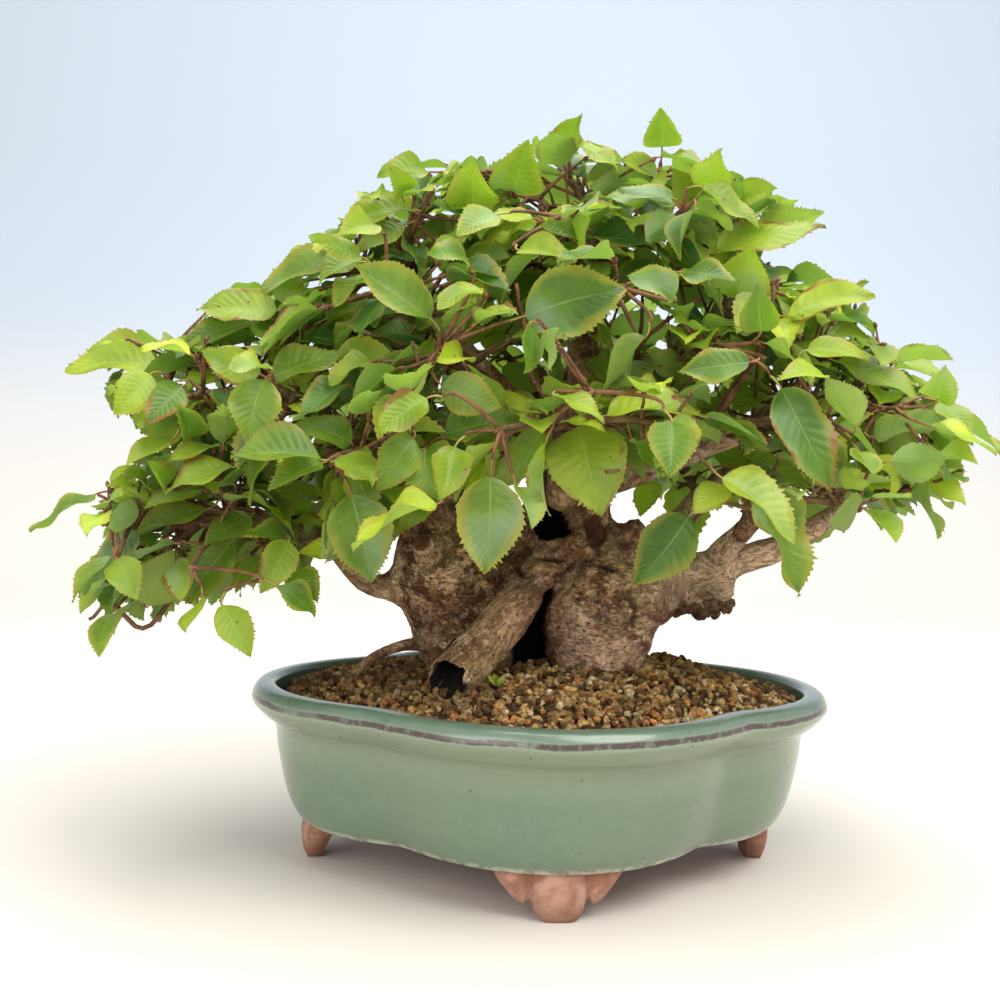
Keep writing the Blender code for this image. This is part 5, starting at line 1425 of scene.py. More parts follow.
def make_wood(looks):
    """Root base, trunks and limbs as one skin with bark, the holes, the knot, the scar and the burr."""
    points, faces, normals = wood_skin()
    along, off, thick = wood_guides(points)
    coords, burr = bark_places(points, along, off, thick), burr_mask(points)
    relief = bark_relief(points, coords, thick, burr)
    ring = np.linalg.norm(points - KNOT, axis=1)
    knot, rings = 1 - smooth_step(ring, KNOT_REACH * 0.8, KNOT_REACH * 1.3), np.cos(ring * KNOT_RINGS)
    relief += knot * (KNOT_RISE + KNOT_WAVE * rings)
    scar = healed_scar(points)
    relief -= scar * SCAR_DEPTH
    crease = np.max([grooved(points, line) for line in CREASES], axis=0)
    crease *= smooth_step(soft_noise(points / 5, 15), -0.5, 0.1) * 0.7 + 0.3
    skirt, bands = banded_skirt(points)
    relief += skirt * bands * BAND_HEIGHT
    relief -= crease * CREASE_DEPTH
    hole, hole_rim, hollow, hollow_rim, mouth = openings(points)
    relief += hole_rim * 0.9 + hollow_rim * (0.7 + 1.2 * soft_noise(points / 1.5, 19))
    leg = smooth_step(np.linalg.norm(off, axis=1) - thick, 3, 0) * (points[:, 1] < -24)
    cleft = grooved(points, CLEFT) * (1 - leg * (points[:, 0] < -14))
    moved = points + normals * relief[:, None]
    moved += np.outer(hole * HOLE_DEPTH, unit(np.array(HOLE_INWARD, float)))
    moved += np.outer(hollow * HOLLOW_DEPTH, unit(np.array(HOLLOW_INWARD, float)))
    moved[:, 1] += cleft * CLEFT_DEPTH
    # Painted shade: near black deep in the trunk's hole and the leg's hollow, on the lower rim of the
    # hollow, in the cleft and along the creases, where shade falls; the knot's dark rings that join this
    # mark are the knot's own colour.
    dark = smooth_step(hole, 0.02, 0.3) + smooth_step(hollow, 0.25, 0.5)
    dark = dark + cleft * 1.2 + crease * 0.55 + mouth
    dark = np.clip(dark + knot * smooth_step(rings, 0, -0.8) * 0.5, 0, 1)
    pile = Pile()
    pile.add(moved, faces, bark=coords, state=np.stack([dark, scar, np.clip(relief, -2, 2)], -1),
             limb=np.stack([thick, burr, hollow_rim + knot * 2], -1),
             skirt=np.stack([skirt, bands, smooth_step(points[:, 0], 38, 54) - leg], -1))
    add_burr_crumbs(pile, moved)
    made = pile.made("wood_trunk_and_branches", looks["bark"])
    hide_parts("wood")


def add_burr_crumbs(pile, wood):
    """Crumbs of dead bark that cling to the underside of the branch."""
    forms, faces = grain_forms()
    rng = np.random.default_rng(SEED + 1)
    low = wood[(np.linalg.norm(wood - BURR, axis=1) < BURR_REACH) & (wood[:, 2] < BURR[2] + 2)]
    for at in low[rng.integers(len(low), size=BURR_CRUMBS)]:
        turn = np.array(Matrix.Rotation(rng.uniform(0, math.tau), 3, Vector(rng.normal(size=3))))
        size = rng.uniform(0.8, 2.1)
        at = at + (0, 0, -size * rng.uniform(0.1, 0.8))
        # The crumbs are darkened through the dark and relief marks, which carry the painted shade of the
        # bark's hollows.
        pile.add(forms[rng.integers(GRAIN_FORMS)] @ turn.T * size + at, faces, bark=at,
                 state=(rng.uniform(0, 0.5), 0, -1), limb=(14, 1, 0), skirt=(0, 0, 0))


# Soil.
def soil_height(x, y):
    """The mound's height, from its edge at the wall to its crown round the trunk."""
    share = np.clip(np.hypot(x, y) / lobe_reach(np.arctan2(y, x), SOIL_WALL_INSET), 0, 1)
    heap = HEAP_HEIGHT * np.exp(-((x - HEAP[0]) ** 2 + (y - HEAP[1]) ** 2) / HEAP_REACH ** 2)
    return SOIL_EDGE + (SOIL_CROWN - SOIL_EDGE) * (1 - share ** MOUND_POWER) + heap


def grain_forms(subdivisions=2):
    """A few angular grains, each a small ball knocked out of round."""
    shape = bmesh.new()
    bmesh.ops.create_icosphere(shape, subdivisions=subdivisions, radius=1)
    ball = np.array([tuple(v.co) for v in shape.verts])
    faces = np.array([[v.index for v in f.verts] for f in shape.faces])
    shape.free()
    forms = []
    for k in range(GRAIN_FORMS):
        dent = soft_noise(ball * 1.3 + k * 7.3, k) * 0.38 + soft_noise(ball * 2.9 + k * 3.1, k) * 0.22
        forms.append(ball * (1 + dent)[:, None])
    return forms, faces


def add_mound(pile):
    """The mound under the grains, coloured the darkest brown as painted shade in the gaps between them."""
    turns = np.arange(MOUND_TURNS) * math.tau / MOUND_TURNS
    rings = []
    for inset in np.linspace(SOIL_WALL_INSET + MOUND_WALL_GAP, MOUND_INSET, MOUND_RINGS):
        reach = lobe_reach(turns, inset)
        x, y = reach * np.cos(turns), reach * np.sin(turns)
        rings.append(np.stack([x, y, soil_height(x, y) - MOUND_DROP], -1))
    points = np.concatenate(rings)
    points[:, 2] += MOUND_ROUGHNESS * soft_noise(points / MOUND_SWELL, 5)
    faces = grid_faces(MOUND_RINGS, MOUND_TURNS)
    middle = len(points)
    start = middle - MOUND_TURNS
    faces += [(start + i, start + (i + 1) % MOUND_TURNS, middle) for i in range(MOUND_TURNS)]
    pile.add(np.concatenate([points, [(0, 0, SOIL_CROWN - 1)]]), faces, grain=(0.1, 0, 0))


def grain_fits(x, y, z):
    """Whether a grain lies inside the wall and off the wood, or in the leg's open mouth."""
    wall = float(lobe_reach(np.array(math.atan2(y, x)), SOIL_WALL_INSET + GRAIN_WALL_GAP))
    leg_x, leg_y = MASSES["front_root"][-1][:2]
    at_mouth = math.hypot(x - leg_x, y - leg_y) < LEG_MOUTH_REACH
    return math.hypot(x, y) <= wall and (at_mouth or not near_wood([(x, y, z)], -1.0))


def make_soil(looks):
    """The mound under the grains, and the grains lying on it, at most two to a cell."""
    pile = Pile()
    add_mound(pile)
    kinds = [grain_forms(2), grain_forms(1)]
    rng = np.random.default_rng(SEED)
    placed, taken = 0, {}
    while placed < GRAINS:
        x, y = (rng.uniform(-reach, reach) for reach in GRAIN_SPREAD)
        z = float(soil_height(np.array(x), np.array(y)))
        if not grain_fits(x, y, z):
            continue
        size = rng.uniform(*GRAIN_SIZES)
        cell = (int(x // GRAIN_CELL), int(y // GRAIN_CELL))
        if taken.get(cell, 0) > 1:
            continue
        taken[cell] = taken.get(cell, 0) + 1
        turn = np.array(Matrix.Rotation(rng.uniform(0, math.tau), 3, Vector(rng.normal(size=3))))
        spread = np.array((1, *(rng.uniform(*shares) for shares in GRAIN_FLATNESS))) * size
        forms, faces = kinds[size < SMALL_GRAIN]
        points = (forms[rng.integers(GRAIN_FORMS)] * spread) @ turn.T
        lift = taken[cell] * GRAIN_LAYER - GRAIN_SINK
        pile.add(points + (x, y, z + lift + rng.uniform(0, GRAIN_LIFT)), faces,
                 grain=(rng.random(), rng.random(), x))
        placed += 1
    made = pile.made("soil_grains", looks["soil"])
    made.data.shade_flat()
    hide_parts("soil")


# Materials.
def node(tree, kind, inputs=(), **settings):
    """A shader node with its settings, and its inputs set or linked by name or number."""
    made = tree.nodes.new(kind)
    for key, value in settings.items():
        setattr(made, key, value)
    for key, value in dict(inputs).items():
        if isinstance(value, bpy.types.NodeSocket):
            tree.links.new(value, made.inputs[key])
        else:
            made.inputs[key].default_value = value
    return made


def soft_patches(tree, place, scale, detail, low, high):
    """Soft patches, the harder at their edges the nearer low and high are."""
    return node(tree, "ShaderNodeGroup", {
        "Place": place, "Scale": scale, "Detail": detail, "Low": low, "High": high},
        node_tree=bpy.data.node_groups["patches"]).outputs[0]


def fine_specks(tree, place, scale, size, share):
    """Round specks in a share of the cells."""
    return node(tree, "ShaderNodeGroup", {
        "Place": place, "Scale": scale, "Size": size, "Share": share},
        node_tree=bpy.data.node_groups["specks"]).outputs[0]


def rough_noise(tree, place, scale, detail):
    return node(tree, "ShaderNodeTexNoise", {
        "Vector": place, "Scale": scale, "Detail": detail}).outputs[0]


def height_of(tree, place):
    return node(tree, "ShaderNodeSeparateXYZ", {0: place}).outputs[2]


def new_group(name, inputs, output):
    """An empty shared effect: its tree, its inputs and the node that takes its result."""
    tree = bpy.data.node_groups.new(name, "ShaderNodeTree")
    for label, (kind, value) in inputs.items():
        socket = tree.interface.new_socket(label, in_out="INPUT", socket_type=kind)
        if value is not None:
            socket.default_value = value
    tree.interface.new_socket(output, in_out="OUTPUT", socket_type="NodeSocketFloat")
    return tree, tree.nodes.new("NodeGroupInput").outputs, tree.nodes.new("NodeGroupOutput").inputs


def make_groups():
    """Soft patches and fine specks, each a mask from 0 to 1."""
    number, place = "NodeSocketFloat", "NodeSocketVector"
    tree, given, result = new_group("patches", {
        "Place": (place, None), "Scale": (number, 5.0), "Detail": (number, 3.0),
        "Low": (number, 0.4), "High": (number, 0.6)}, "Mask")
    noise = node(tree, "ShaderNodeTexNoise", {
        "Vector": given["Place"], "Scale": given["Scale"], "Detail": given["Detail"], "Roughness": 0.6})
    ramp = node(tree, "ShaderNodeMapRange", {
        "Value": noise.outputs[0], "From Min": given["Low"], "From Max": given["High"]},
        interpolation_type="SMOOTHSTEP")
    tree.links.new(ramp.outputs[0], result[0])

    tree, given, result = new_group("specks", {
        "Place": (place, None), "Scale": (number, 100.0), "Size": (number, 0.3),
        "Share": (number, 0.4)}, "Mask")
    cells = node(tree, "ShaderNodeTexVoronoi", {
        "Vector": given["Place"], "Scale": given["Scale"], "Randomness": 1.0})
    inner = node(tree, "ShaderNodeMath", {0: given["Size"], 1: 0.5}, operation="MULTIPLY")
    dot = node(tree, "ShaderNodeMapRange", {
        "Value": cells.outputs["Distance"], "From Min": given["Size"], "From Max": inner.outputs[0]},
        interpolation_type="SMOOTHSTEP")
    red = node(tree, "ShaderNodeSeparateColor", {"Color": cells.outputs["Color"]})
    some = node(tree, "ShaderNodeMath", {0: red.outputs[0], 1: given["Share"]}, operation="LESS_THAN")
    both = node(tree, "ShaderNodeMath", {0: dot.outputs[0], 1: some.outputs[0]}, operation="MULTIPLY")
    tree.links.new(both.outputs[0], result[0])


def new_material(name):
    made = bpy.data.materials.new(name)
    made.use_nodes = True
    tree = made.node_tree
    shader = tree.nodes["Principled BSDF"]
    place = node(tree, "ShaderNodeTexCoord").outputs["Object"]
    return made, tree, shader, place


def mixed(tree, share, first, second):
    """Two colours mixed by a mask."""
    first, second = ((*c, 1) if isinstance(c, tuple) else c for c in (first, second))
    return node(tree, "ShaderNodeMix", {"Factor": share, 6: first, 7: second},
                data_type="RGBA").outputs[2]


def tinted(tree, colour, mask, strength, tint):
    """A tint laid over a colour where the mask is, at a share of full strength."""
    return mixed(tree, times(tree, mask, strength), colour, tint)


def times(tree, first, second, clamp=False):
    return maths(tree, "MULTIPLY", first, second, clamp=clamp)


def maths(tree, operation, first, second=0.0, third=0.0, clamp=False):
    return node(tree, "ShaderNodeMath", {0: first, 1: second, 2: third}, operation=operation,
                use_clamp=clamp).outputs[0]


def ranged(tree, value, low, high, to_low=0.0, to_high=1.0):
    return node(tree, "ShaderNodeMapRange", {
        "Value": value, "From Min": low, "From Max": high, "To Min": to_low, "To Max": to_high},
        interpolation_type="SMOOTHSTEP").outputs[0]


def marked(tree, name):
    """The three values of a mark that the mesh carries."""
    mark = node(tree, "ShaderNodeAttribute", attribute_name=name).outputs["Vector"]
    return node(tree, "ShaderNodeSeparateXYZ", {0: mark}).outputs, mark


def bumped(tree, shader, height, strength, distance):
    bump = node(tree, "ShaderNodeBump", {"Height": height, "Strength": strength, "Distance": distance})
    tree.links.new(bump.outputs[0], shader.inputs["Normal"])
    return bump.outputs[0]


def leaf_look():
    """Hornbeam leaf: green to yellow-green with paler veins, browned edges and a paler back."""
    made, tree, shader, place = new_material("hornbeam_leaf")
    (across, vein, along), _ = marked(tree, "blade")
    (tone, brown, chance), _ = marked(tree, "leaf")
    tone = maths(tree, "POWER", tone, 1.4)
    part = maths(tree, "ABSOLUTE", across)
    wobble = rough_noise(tree, place, 90, 3)
    between = maths(tree, "PINGPONG", vein, 0.5)
    side_vein = ranged(tree, between, 0.05, 0.0)
    side_vein = times(tree, side_vein, ranged(tree, part, 0.97, 0.8))
    midrib = ranged(tree, part, 0.055, 0.015)
    veins = maths(tree, "MAXIMUM", times(tree, side_vein, 0.5), midrib)
    mottled = soft_patches(tree, place, 55, 4, 0.35, 0.68)
    green = mixed(tree, tone, (0.070, 0.180, 0.020), (0.700, 0.800, 0.050))
    deeper = mixed(tree, tone, (0.026, 0.090, 0.012), (0.420, 0.570, 0.030))
    green = mixed(tree, mottled, deeper, green)
    green = mixed(tree, times(tree, veins, 0.28), green, (0.46, 0.60, 0.16))
    # Painted sheen: pale blue-grey patches on some leaves stand in for the reflection of the bright
    # surroundings on their glossy tops.
    bloom_and_painted_sheen = soft_patches(tree, place, 28, 2, 0.5, 0.7)
    bloom_and_painted_sheen = times(tree, bloom_and_painted_sheen, ranged(tree, chance, 0.3, 0.9, 0.08, 0.6))
    green = mixed(tree, bloom_and_painted_sheen, green, (0.30, 0.42, 0.29))
    edge = ranged(tree, maths(tree, "ADD", part, times(tree, wobble, 0.6)), 0.92, 1.4)
    yellow = maths(tree, "MULTIPLY_ADD", chance, 0.6, 0.05)
    green = mixed(tree, times(tree, edge, yellow), green, (0.60, 0.60, 0.06))
    reach = maths(tree, "MAXIMUM", part, ranged(tree, along, 0.55, 1.1))
    scorch = maths(tree, "ADD", reach, times(tree, wobble, 0.9))
    scorch = ranged(tree, scorch, 1.23, 1.34)
    parts = soft_patches(tree, place, 62, 1, 0.44, 0.56)
    scorch = times(tree, scorch, maths(tree, "MAXIMUM", times(tree, parts, brown), 0.32))
    top = mixed(tree, scorch, green, (0.240, 0.095, 0.025))
    spots = fine_specks(tree, place, 260, 0.22, 0.06)
    top = mixed(tree, spots, top, (0.16, 0.07, 0.025))
    back = mixed(tree, 0.4, top, (0.22, 0.32, 0.15))
    facing = node(tree, "ShaderNodeNewGeometry").outputs["Backfacing"]
    colour = mixed(tree, facing, top, back)
    tree.links.new(colour, shader.inputs["Base Color"])
    rough = maths(tree, "ADD", times(tree, facing, 0.22), ranged(tree, mottled, 0, 1, 0.36, 0.46))
    tree.links.new(rough, shader.inputs["Roughness"])
    shader.inputs["Specular IOR Level"].default_value = 0.45
    height = maths(tree, "SUBTRACT", times(tree, wobble, 0.3), veins)
    normal = bumped(tree, shader, height, 0.3, 0.0004)
    through = mixed(tree, 0.55, colour, (0.38, 0.70, 0.04))
    light = node(tree, "ShaderNodeBsdfTranslucent", {"Color": through, "Normal": normal})
    both = node(tree, "ShaderNodeMixShader", {0: 0.34, 1: shader.outputs[0], 2: light.outputs[0]})
    tree.links.new(both.outputs[0], tree.nodes["Material Output"].inputs["Surface"])
    return made


def twig_look():
    """Young wood: reddish brown with pale lenticels, greyer where it is older."""
    made, tree, shader, place = new_material("young_twig")
    (age, _, _), _ = marked(tree, "leaf")
    patches = soft_patches(tree, place, 160, 4, 0.35, 0.65)
    young = mixed(tree, patches, (0.205, 0.078, 0.030), (0.090, 0.033, 0.015))
    old = mixed(tree, patches, (0.270, 0.165, 0.095), (0.120, 0.068, 0.038))
    colour = mixed(tree, age, old, young)
    dots = fine_specks(tree, place, 620, 0.33, 0.28)
    colour = tinted(tree, colour, dots, 0.6, (0.40, 0.28, 0.18))
    tree.links.new(colour, shader.inputs["Base Color"])
    shader.inputs["Roughness"].default_value = 0.6
    shader.inputs["Specular IOR Level"].default_value = 0.25
    bumped(tree, shader, maths(tree, "ADD", patches, dots), 0.5, 0.0003)
    return made


def stalk_look():
    """Leaf stalks: reddish near the twig and yellow-green in places."""
    made, tree, shader, place = new_material("leaf_stalk")
    patches = soft_patches(tree, place, 45, 2, 0.4, 0.62)
    colour = mixed(tree, patches, (0.30, 0.10, 0.045), (0.34, 0.30, 0.07))
    tree.links.new(colour, shader.inputs["Base Color"])
    shader.inputs["Roughness"].default_value = 0.5
    fine = node(tree, "ShaderNodeTexNoise", {"Vector": place, "Scale": 900.0}).outputs[0]
    bumped(tree, shader, fine, 0.3, 0.0002)
    return made


def bark_look():
    """Old bark: grey-brown and pinkish beige, with reddish flakes, dark pits and a green tinge."""
    made, tree, shader, place = new_material("old_bark")
    (dark, scar, relief), _ = marked(tree, "state")
    (thick, burr, bare), _ = marked(tree, "limb")
    _, bark = marked(tree, "bark")
    grain = node(tree, "ShaderNodeVectorMath", {0: bark, "Scale": MM}, operation="SCALE").outputs[0]
    (skirt, bands, paler), _ = marked(tree, "skirt")
    broad = soft_patches(tree, place, 38, 7, 0.42, 0.58)
    colour = mixed(tree, broad, (0.700, 0.445, 0.245), (0.250, 0.120, 0.057))
    colour = tinted(tree, colour, skirt, 0.75, (0.930, 0.600, 0.410))
    zones = soft_patches(tree, place, 30, 3, 0.42, 0.58)
    old = ranged(tree, thick, 10.5, 13.5)
    rough_bark = times(tree, zones, old)
    flakes = soft_patches(tree, place, 110, 10, 0.48, 0.55)
    colour = tinted(tree, colour, ranged(tree, paler, 0, 1), 0.7, (0.880, 0.620, 0.430))
    colour = tinted(tree, colour, ranged(tree, paler, 0, -1), 0.6, (0.190, 0.095, 0.052))
    rough_bark = maths(tree, "MULTIPLY_ADD", skirt, -0.5, rough_bark, clamp=True)
    colour = mixed(tree, times(tree, flakes, ranged(tree, rough_bark, 0, 1, 0.12, 0.9)),
                   colour, (0.120, 0.042, 0.017))
    pale = soft_patches(tree, place, 70, 9, 0.53, 0.66)
    colour = tinted(tree, colour, pale, 0.8, (0.780, 0.550, 0.350))
    streaks = soft_patches(tree, grain, 300, 8, 0.54, 0.62)
    colour = tinted(tree, colour, streaks, 0.42, (0.115, 0.052, 0.024))
    green = soft_patches(tree, place, 22, 3, 0.52, 0.68)
    colour = tinted(tree, colour, green, 0.4, (0.300, 0.235, 0.085))
    # Painted shade: darker where the bark's relief sinks, in its hollows and grooves.
    sunk = ranged(tree, relief, 0.1, -1.3)
    colour = tinted(tree, colour, sunk, 0.7, (0.085, 0.040, 0.024))
    pits = fine_specks(tree, place, 420, 0.32, 0.16)
    colour = tinted(tree, colour, pits, 0.7, (0.060, 0.030, 0.018))
    light = soft_patches(tree, place, 300, 9, 0.53, 0.62)
    colour = tinted(tree, colour, light, 0.35, (0.760, 0.550, 0.370))
    shade = soft_patches(tree, grain, 700, 6, 0.53, 0.62)
    colour = tinted(tree, colour, shade, 0.2, (0.090, 0.040, 0.018))
    ragged = maths(tree, "MULTIPLY_ADD", flakes, 0.5, bands)
    red = times(tree, ranged(tree, ragged, 0.25, 0.6), skirt)
    colour = tinted(tree, colour, red, 0.8, (0.230, 0.080, 0.040))
    colour = tinted(tree, colour, scar, 0.85, (0.130, 0.040, 0.022))
    colour = tinted(tree, colour, burr, 0.6, (0.080, 0.040, 0.022))
    young = ranged(tree, thick, 5.5, 2.5)
    colour = tinted(tree, colour, young, 0.5, (0.200, 0.110, 0.065))
    splinters = soft_patches(tree, grain, 500, 4, 0.35, 0.6)
    rim = mixed(tree, splinters, (0.300, 0.190, 0.105), (0.800, 0.620, 0.420))
    colour = mixed(tree, ranged(tree, bare, 0.05, 0.35), colour, rim)
    colour = mixed(tree, ranged(tree, bare, 1.2, 1.8), colour, (0.270, 0.105, 0.045))
    # Painted shade: the dark mark turns the hole, the hollow, its lower rim, the cleft and the creases near
    # black; on the knot it gives the knot's own dark rings.
    colour = mixed(tree, ranged(tree, dark, 0.25, 0.85), colour, (0.005, 0.0035, 0.003))
    tree.links.new(colour, shader.inputs["Base Color"])
    tree.links.new(ranged(tree, flakes, 0, 1, 0.72, 0.9), shader.inputs["Roughness"])
    shader.inputs["Specular IOR Level"].default_value = 0.18
    rough = rough_noise(tree, place, 900, 6)
    height = maths(tree, "ADD", times(tree, rough, 1.6), times(tree, flakes, 0.7))
    height = maths(tree, "SUBTRACT", height, maths(tree, "ADD", streaks, pits))
    bumped(tree, shader, maths(tree, "SUBTRACT", height, shade), 1.0, 0.001)
    return made


def glaze_look():
    """Celadon glaze: green, paler under the lip, with a dark broken line round it."""
    made, tree, shader, place = new_material("celadon_glaze")
    (rise, _, _), _ = marked(tree, "rise")
    height = height_of(tree, place)
    wash = soft_patches(tree, place, 16, 3, 0.3, 0.7)
    belly = mixed(tree, wash, (0.112, 0.180, 0.114), (0.136, 0.192, 0.120))
    upper = mixed(tree, ranged(tree, height, 0.042, 0.060), belly, (0.172, 0.222, 0.138))
    lip = mixed(tree, ranged(tree, rise, LIP_LINE - 1.5, LIP_LINE + 1.5), upper, (0.095, 0.145, 0.105))
    mottle = soft_patches(tree, place, 240, 4, 0.4, 0.75)
    colour = mixed(tree, times(tree, mottle, 0.1), lip, (0.28, 0.35, 0.26))
    sway = rough_noise(tree, place, 60, 6)
    broken = soft_patches(tree, place, 26, 2, 0.36, 0.46)
    ragged = maths(tree, "MULTIPLY_ADD", sway, 2.6, -1.3)
    at = maths(tree, "ADD", rise, ragged)
    fringe = times(tree, ranged(tree, at, LIP_LINE - 2.4, LIP_LINE - 1.2),
                   ranged(tree, at, LIP_LINE + 2.6, LIP_LINE + 1.2))
    colour = tinted(tree, colour, fringe, 0.22, (0.26, 0.31, 0.25))
    line = times(tree, ranged(tree, at, LIP_LINE - 1.4, LIP_LINE - 0.6),
                 ranged(tree, at, LIP_LINE + 1.4, LIP_LINE + 0.6))
    streaky = soft_patches(tree, place, 320, 4, 0.36, 0.5)
    line = times(tree, line, maths(tree, "MULTIPLY_ADD", broken, 0.5, 0.3))
    line = times(tree, line, maths(tree, "MULTIPLY_ADD", streaky, 0.7, 0.65), clamp=True)
    colour = mixed(tree, line, colour, (0.055, 0.036, 0.032))
    lime = times(tree, ranged(tree, height, 0.0215, 0.0185),
                 soft_patches(tree, place, 180, 5, 0.35, 0.6))
    colour = tinted(tree, colour, lime, 0.8, (0.62, 0.60, 0.52))
    specks = fine_specks(tree, place, 210, 0.14, 0.2)
    colour = tinted(tree, colour, specks, 0.75, (0.05, 0.07, 0.05))
    colour = mixed(tree, ranged(tree, height, 0.0179, 0.0172), colour, (0.33, 0.20, 0.15))
    tree.links.new(colour, shader.inputs["Base Color"])
    tree.links.new(ranged(tree, lime, 0, 1, 0.24, 0.6), shader.inputs["Roughness"])
    shader.inputs["Coat Weight"].default_value = 0.4
    shader.inputs["Coat Roughness"].default_value = 0.12
    orange_peel = rough_noise(tree, place, 180, 2)
    bumped(tree, shader, orange_peel, 0.06, 0.0004)
    return made


def clay_look():
    """Unglazed feet: reddish clay with a pale bloom."""
    made, tree, shader, place = new_material("unglazed_clay")
    height = height_of(tree, place)
    bloom_and_painted_sheen = soft_patches(tree, place, 85, 5, 0.38, 0.62)
    colour = mixed(tree, bloom_and_painted_sheen, (0.24, 0.100, 0.058), (0.42, 0.24, 0.17))
    low = ranged(tree, height, 0.012, 0.002)
    colour = tinted(tree, colour, low, 0.6, (0.23, 0.110, 0.070))
    pits = fine_specks(tree, place, 420, 0.25, 0.2)
    colour = tinted(tree, colour, pits, 0.6, (0.12, 0.06, 0.04))
    tree.links.new(colour, shader.inputs["Base Color"])
    shader.inputs["Roughness"].default_value = 0.75
    sand = rough_noise(tree, place, 800, 4)
    bumped(tree, shader, sand, 0.35, 0.0003)
    return made


def soil_look():
    """Grains of baked clay, pumice and lava, each its own colour, darker in patches and towards the left,
    over a mound painted dark as shade between them.
    """
    made, tree, shader, place = new_material("soil_grains")
    (kind, shade, across), _ = marked(tree, "grain")
    tan = mixed(tree, shade, (0.120, 0.066, 0.020), (0.640, 0.410, 0.150))
    orange = mixed(tree, shade, (0.220, 0.070, 0.018), (0.640, 0.280, 0.095))
    cream = mixed(tree, shade, (0.460, 0.330, 0.170), (0.700, 0.540, 0.320))
    brown = mixed(tree, shade, (0.045, 0.024, 0.012), (0.110, 0.062, 0.030))
    # The mound (kind 0.1, shade 0) takes the darkest brown: painted shade in the gaps between the grains.
    colour = mixed(tree, ranged(tree, kind, 0.22, 0.28), brown, tan)
    colour = mixed(tree, ranged(tree, kind, 0.70, 0.74), colour, orange)
    colour = mixed(tree, ranged(tree, kind, 0.86, 0.90), colour, cream)
    # Darker in soft patches and towards the left (negative x).
    darker_patches_and_left = soft_patches(tree, place, 34, 3, 0.42, 0.62)
    darker_patches_and_left = maths(tree, "MULTIPLY_ADD", ranged(tree, across, 30, -70), 0.35, times(tree, darker_patches_and_left, 0.35))
    colour = mixed(tree, darker_patches_and_left, colour, (0.070, 0.036, 0.014))
    crust = soft_patches(tree, place, 520, 6, 0.46, 0.6)
    colour = tinted(tree, colour, crust, 0.4, (0.130, 0.065, 0.022))
    pores = fine_specks(tree, place, 900, 0.35, 0.4)
    colour = tinted(tree, colour, pores, 0.5, (0.06, 0.035, 0.02))
    tree.links.new(colour, shader.inputs["Base Color"])
    shader.inputs["Roughness"].default_value = 0.85
    shader.inputs["Specular IOR Level"].default_value = 0.18
    crumb = rough_noise(tree, place, 1500, 4)
    bumped(tree, shader, maths(tree, "SUBTRACT", crumb, crust), 0.9, 0.0006)
    return made


def screen_look():
    """The drain screens: dark moulded plastic, dusty from the soil."""
    made, tree, shader, place = new_material("screen_plastic")
    dust = soft_patches(tree, place, 120, 5, 0.4, 0.7)
    colour = mixed(tree, dust, (0.015, 0.015, 0.016), (0.075, 0.060, 0.045))
    tree.links.new(colour, shader.inputs["Base Color"])
    tree.links.new(ranged(tree, dust, 0, 1, 0.4, 0.8), shader.inputs["Roughness"])
    bumped(tree, shader, dust, 0.3, 0.0002)
    return made


def backdrop_look():
    """A pale ground that turns to a very light blue high up."""
    made, tree, shader, place = new_material("backdrop_paper")
    height = height_of(tree, place)
    cloud = rough_noise(tree, place, 1.1, 1)
    level = maths(tree, "MULTIPLY_ADD", cloud, 0.12, height)
    along = node(tree, "ShaderNodeSeparateXYZ", {0: place}).outputs[0]
    blue = mixed(tree, ranged(tree, along, -1.0, 1.0), (0.436, 0.505, 0.590), (0.475, 0.550, 0.650))
    colour = mixed(tree, ranged(tree, level, 0.06, 0.55), (0.635, 0.600, 0.560), blue)
    tree.links.new(colour, shader.inputs["Base Color"])
    shader.inputs["Roughness"].default_value = 0.9
    shader.inputs["Specular IOR Level"].default_value = 0.1
    return made


# Stage, light and camera.
def make_stage():
    """A pale floor that curves up into a pale backdrop."""
    depths = (-2.4, 0.9)
    line = [(y, 0.0) for y in np.linspace(*depths, 8)]
    line += [(0.9 + 0.7 * math.sin(t), 0.7 * (1 - math.cos(t)))
             for t in np.linspace(0, math.pi / 2, 14)[1:]]
    line += [(1.6, z) for z in np.linspace(0.9, 3.2, 8)]
    points, columns = [], np.linspace(-3.5, 3.5, 12)
    for y, z in line:
        points += [(x, y, z) for x in columns]
    mesh = bpy.data.meshes.new("backdrop")
    faces = grid_faces(len(line), len(columns), around=False)
    mesh.from_pydata(points, [], [tuple(f) for f in faces])
    mesh.shade_smooth()
    mesh.materials.append(backdrop_look())
    made = bpy.data.objects.new("backdrop", mesh)
    bpy.context.scene.collection.objects.link(made)


LIGHT_AIM = (0, 0, 0.16)
LAMPS = (  # name, place, width across, power, colour
    ("soft_key", (0.7, -0.9, 1.5), 1.3, 27, (1.0, 0.975, 0.93)),
    ("overhead", (0.1, 0.2, 1.7), 1.5, 25, (1.0, 0.985, 0.95)),
    ("left_fill", (-1.1, -1.4, 0.8), 1.4, 13, (1.0, 0.98, 0.96)),
)
ROOM_COLOUR, ROOM_STRENGTH = (1.0, 0.975, 0.94, 1), 0.98


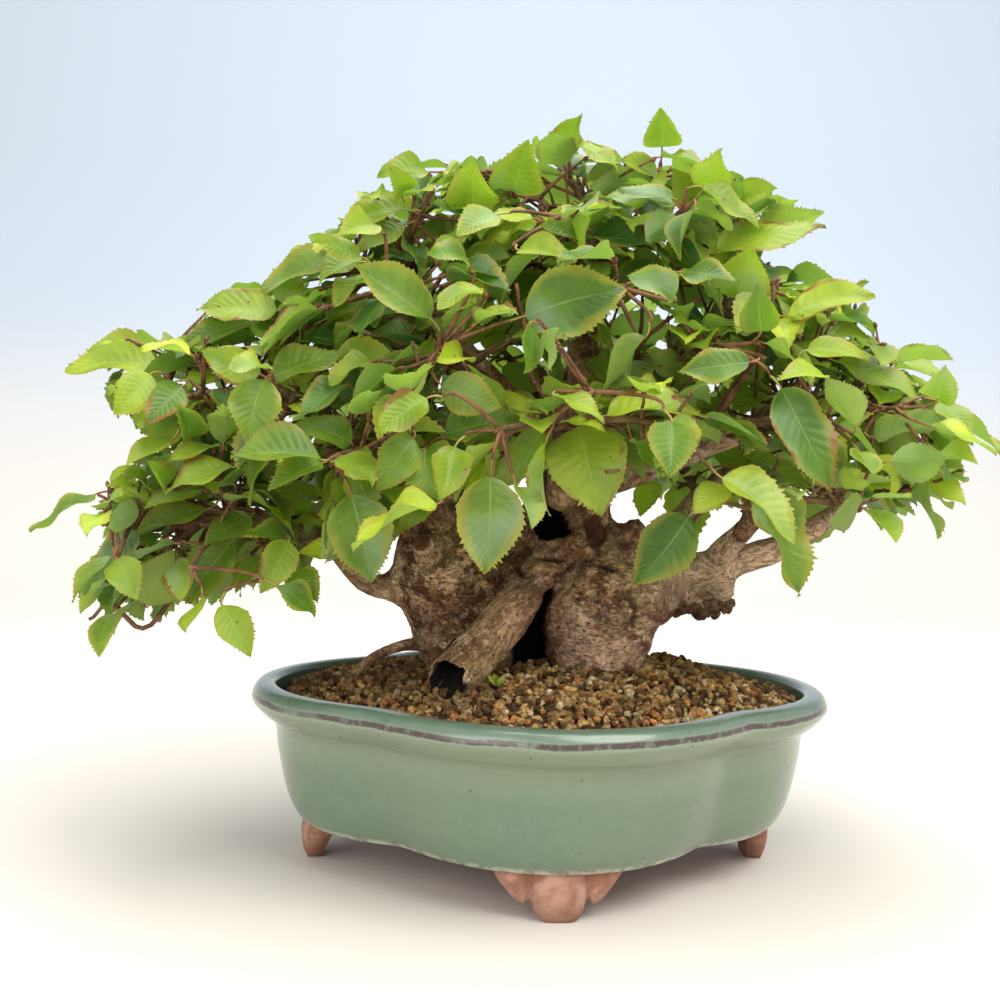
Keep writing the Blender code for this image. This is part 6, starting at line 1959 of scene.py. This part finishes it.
def make_lights():
    """Three soft round lamps in a pale room."""
    for name, place, size, power, colour in LAMPS:
        light = bpy.data.lights.new(name, "AREA")
        light.shape = "DISK"
        light.size = size
        light.energy = power
        light.color = colour
        made = bpy.data.objects.new(name, light)
        made.location = place
        made.rotation_euler = (Vector(LIGHT_AIM) - Vector(place)).to_track_quat("-Z", "Y").to_euler()
        bpy.context.scene.collection.objects.link(made)
    world = bpy.data.worlds.new("pale_room")
    world.use_nodes = True
    ground = world.node_tree.nodes["Background"]
    ground.inputs["Color"].default_value = ROOM_COLOUR
    ground.inputs["Strength"].default_value = ROOM_STRENGTH
    bpy.context.scene.world = world
    bpy.context.scene.view_settings.view_transform = "Standard"


def make_camera():
    lens = bpy.data.cameras.new("viewpoint")
    lens.sensor_width = SENSOR
    lens.lens = SENSOR * VIEW_LENGTH / SHEET
    lens.clip_start = 0.01
    made = bpy.data.objects.new("viewpoint", lens)
    bpy.context.scene.collection.objects.link(made)
    made.location = POT_PLACE + Vector(VIEWPOINT) * MM
    made.rotation_euler = VIEW_TURN.to_euler()
    bpy.context.scene.camera = made


def finish_screens(look):
    """The drain screens keep their shape and get their finish."""
    for name in ("drain_screen_left", "drain_screen_right"):
        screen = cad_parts[name]
        for holder in screen.material_slots:
            holder.link = "OBJECT"
            holder.material = look


def main():
    make_groups()
    looks = {"leaf": leaf_look(), "twig": twig_look(), "stalk": stalk_look(), "bark": bark_look(),
             "glaze": glaze_look(), "clay": clay_look(), "soil": soil_look()}
    finish_screens(screen_look())
    make_pot(looks)
    make_soil(looks)
    make_wood(looks)
    foliage = Foliage(spray_twigs())
    place_seen_leaves(foliage)
    sheet = Sheet()
    for leaves in foliage.leaves.values():
        for _, base, tip, facing, width, *_ in leaves:
            sheet.cover(blade_grid(base, tip, facing, width, 24, 15))
    grow_into_gaps(foliage, sheet)
    grow_shoots(foliage, sheet)
    make_sprays(foliage, looks)
    make_bare_twigs(looks)
    make_sprout(looks)
    make_stage()
    make_lights()
    make_camera()


main()
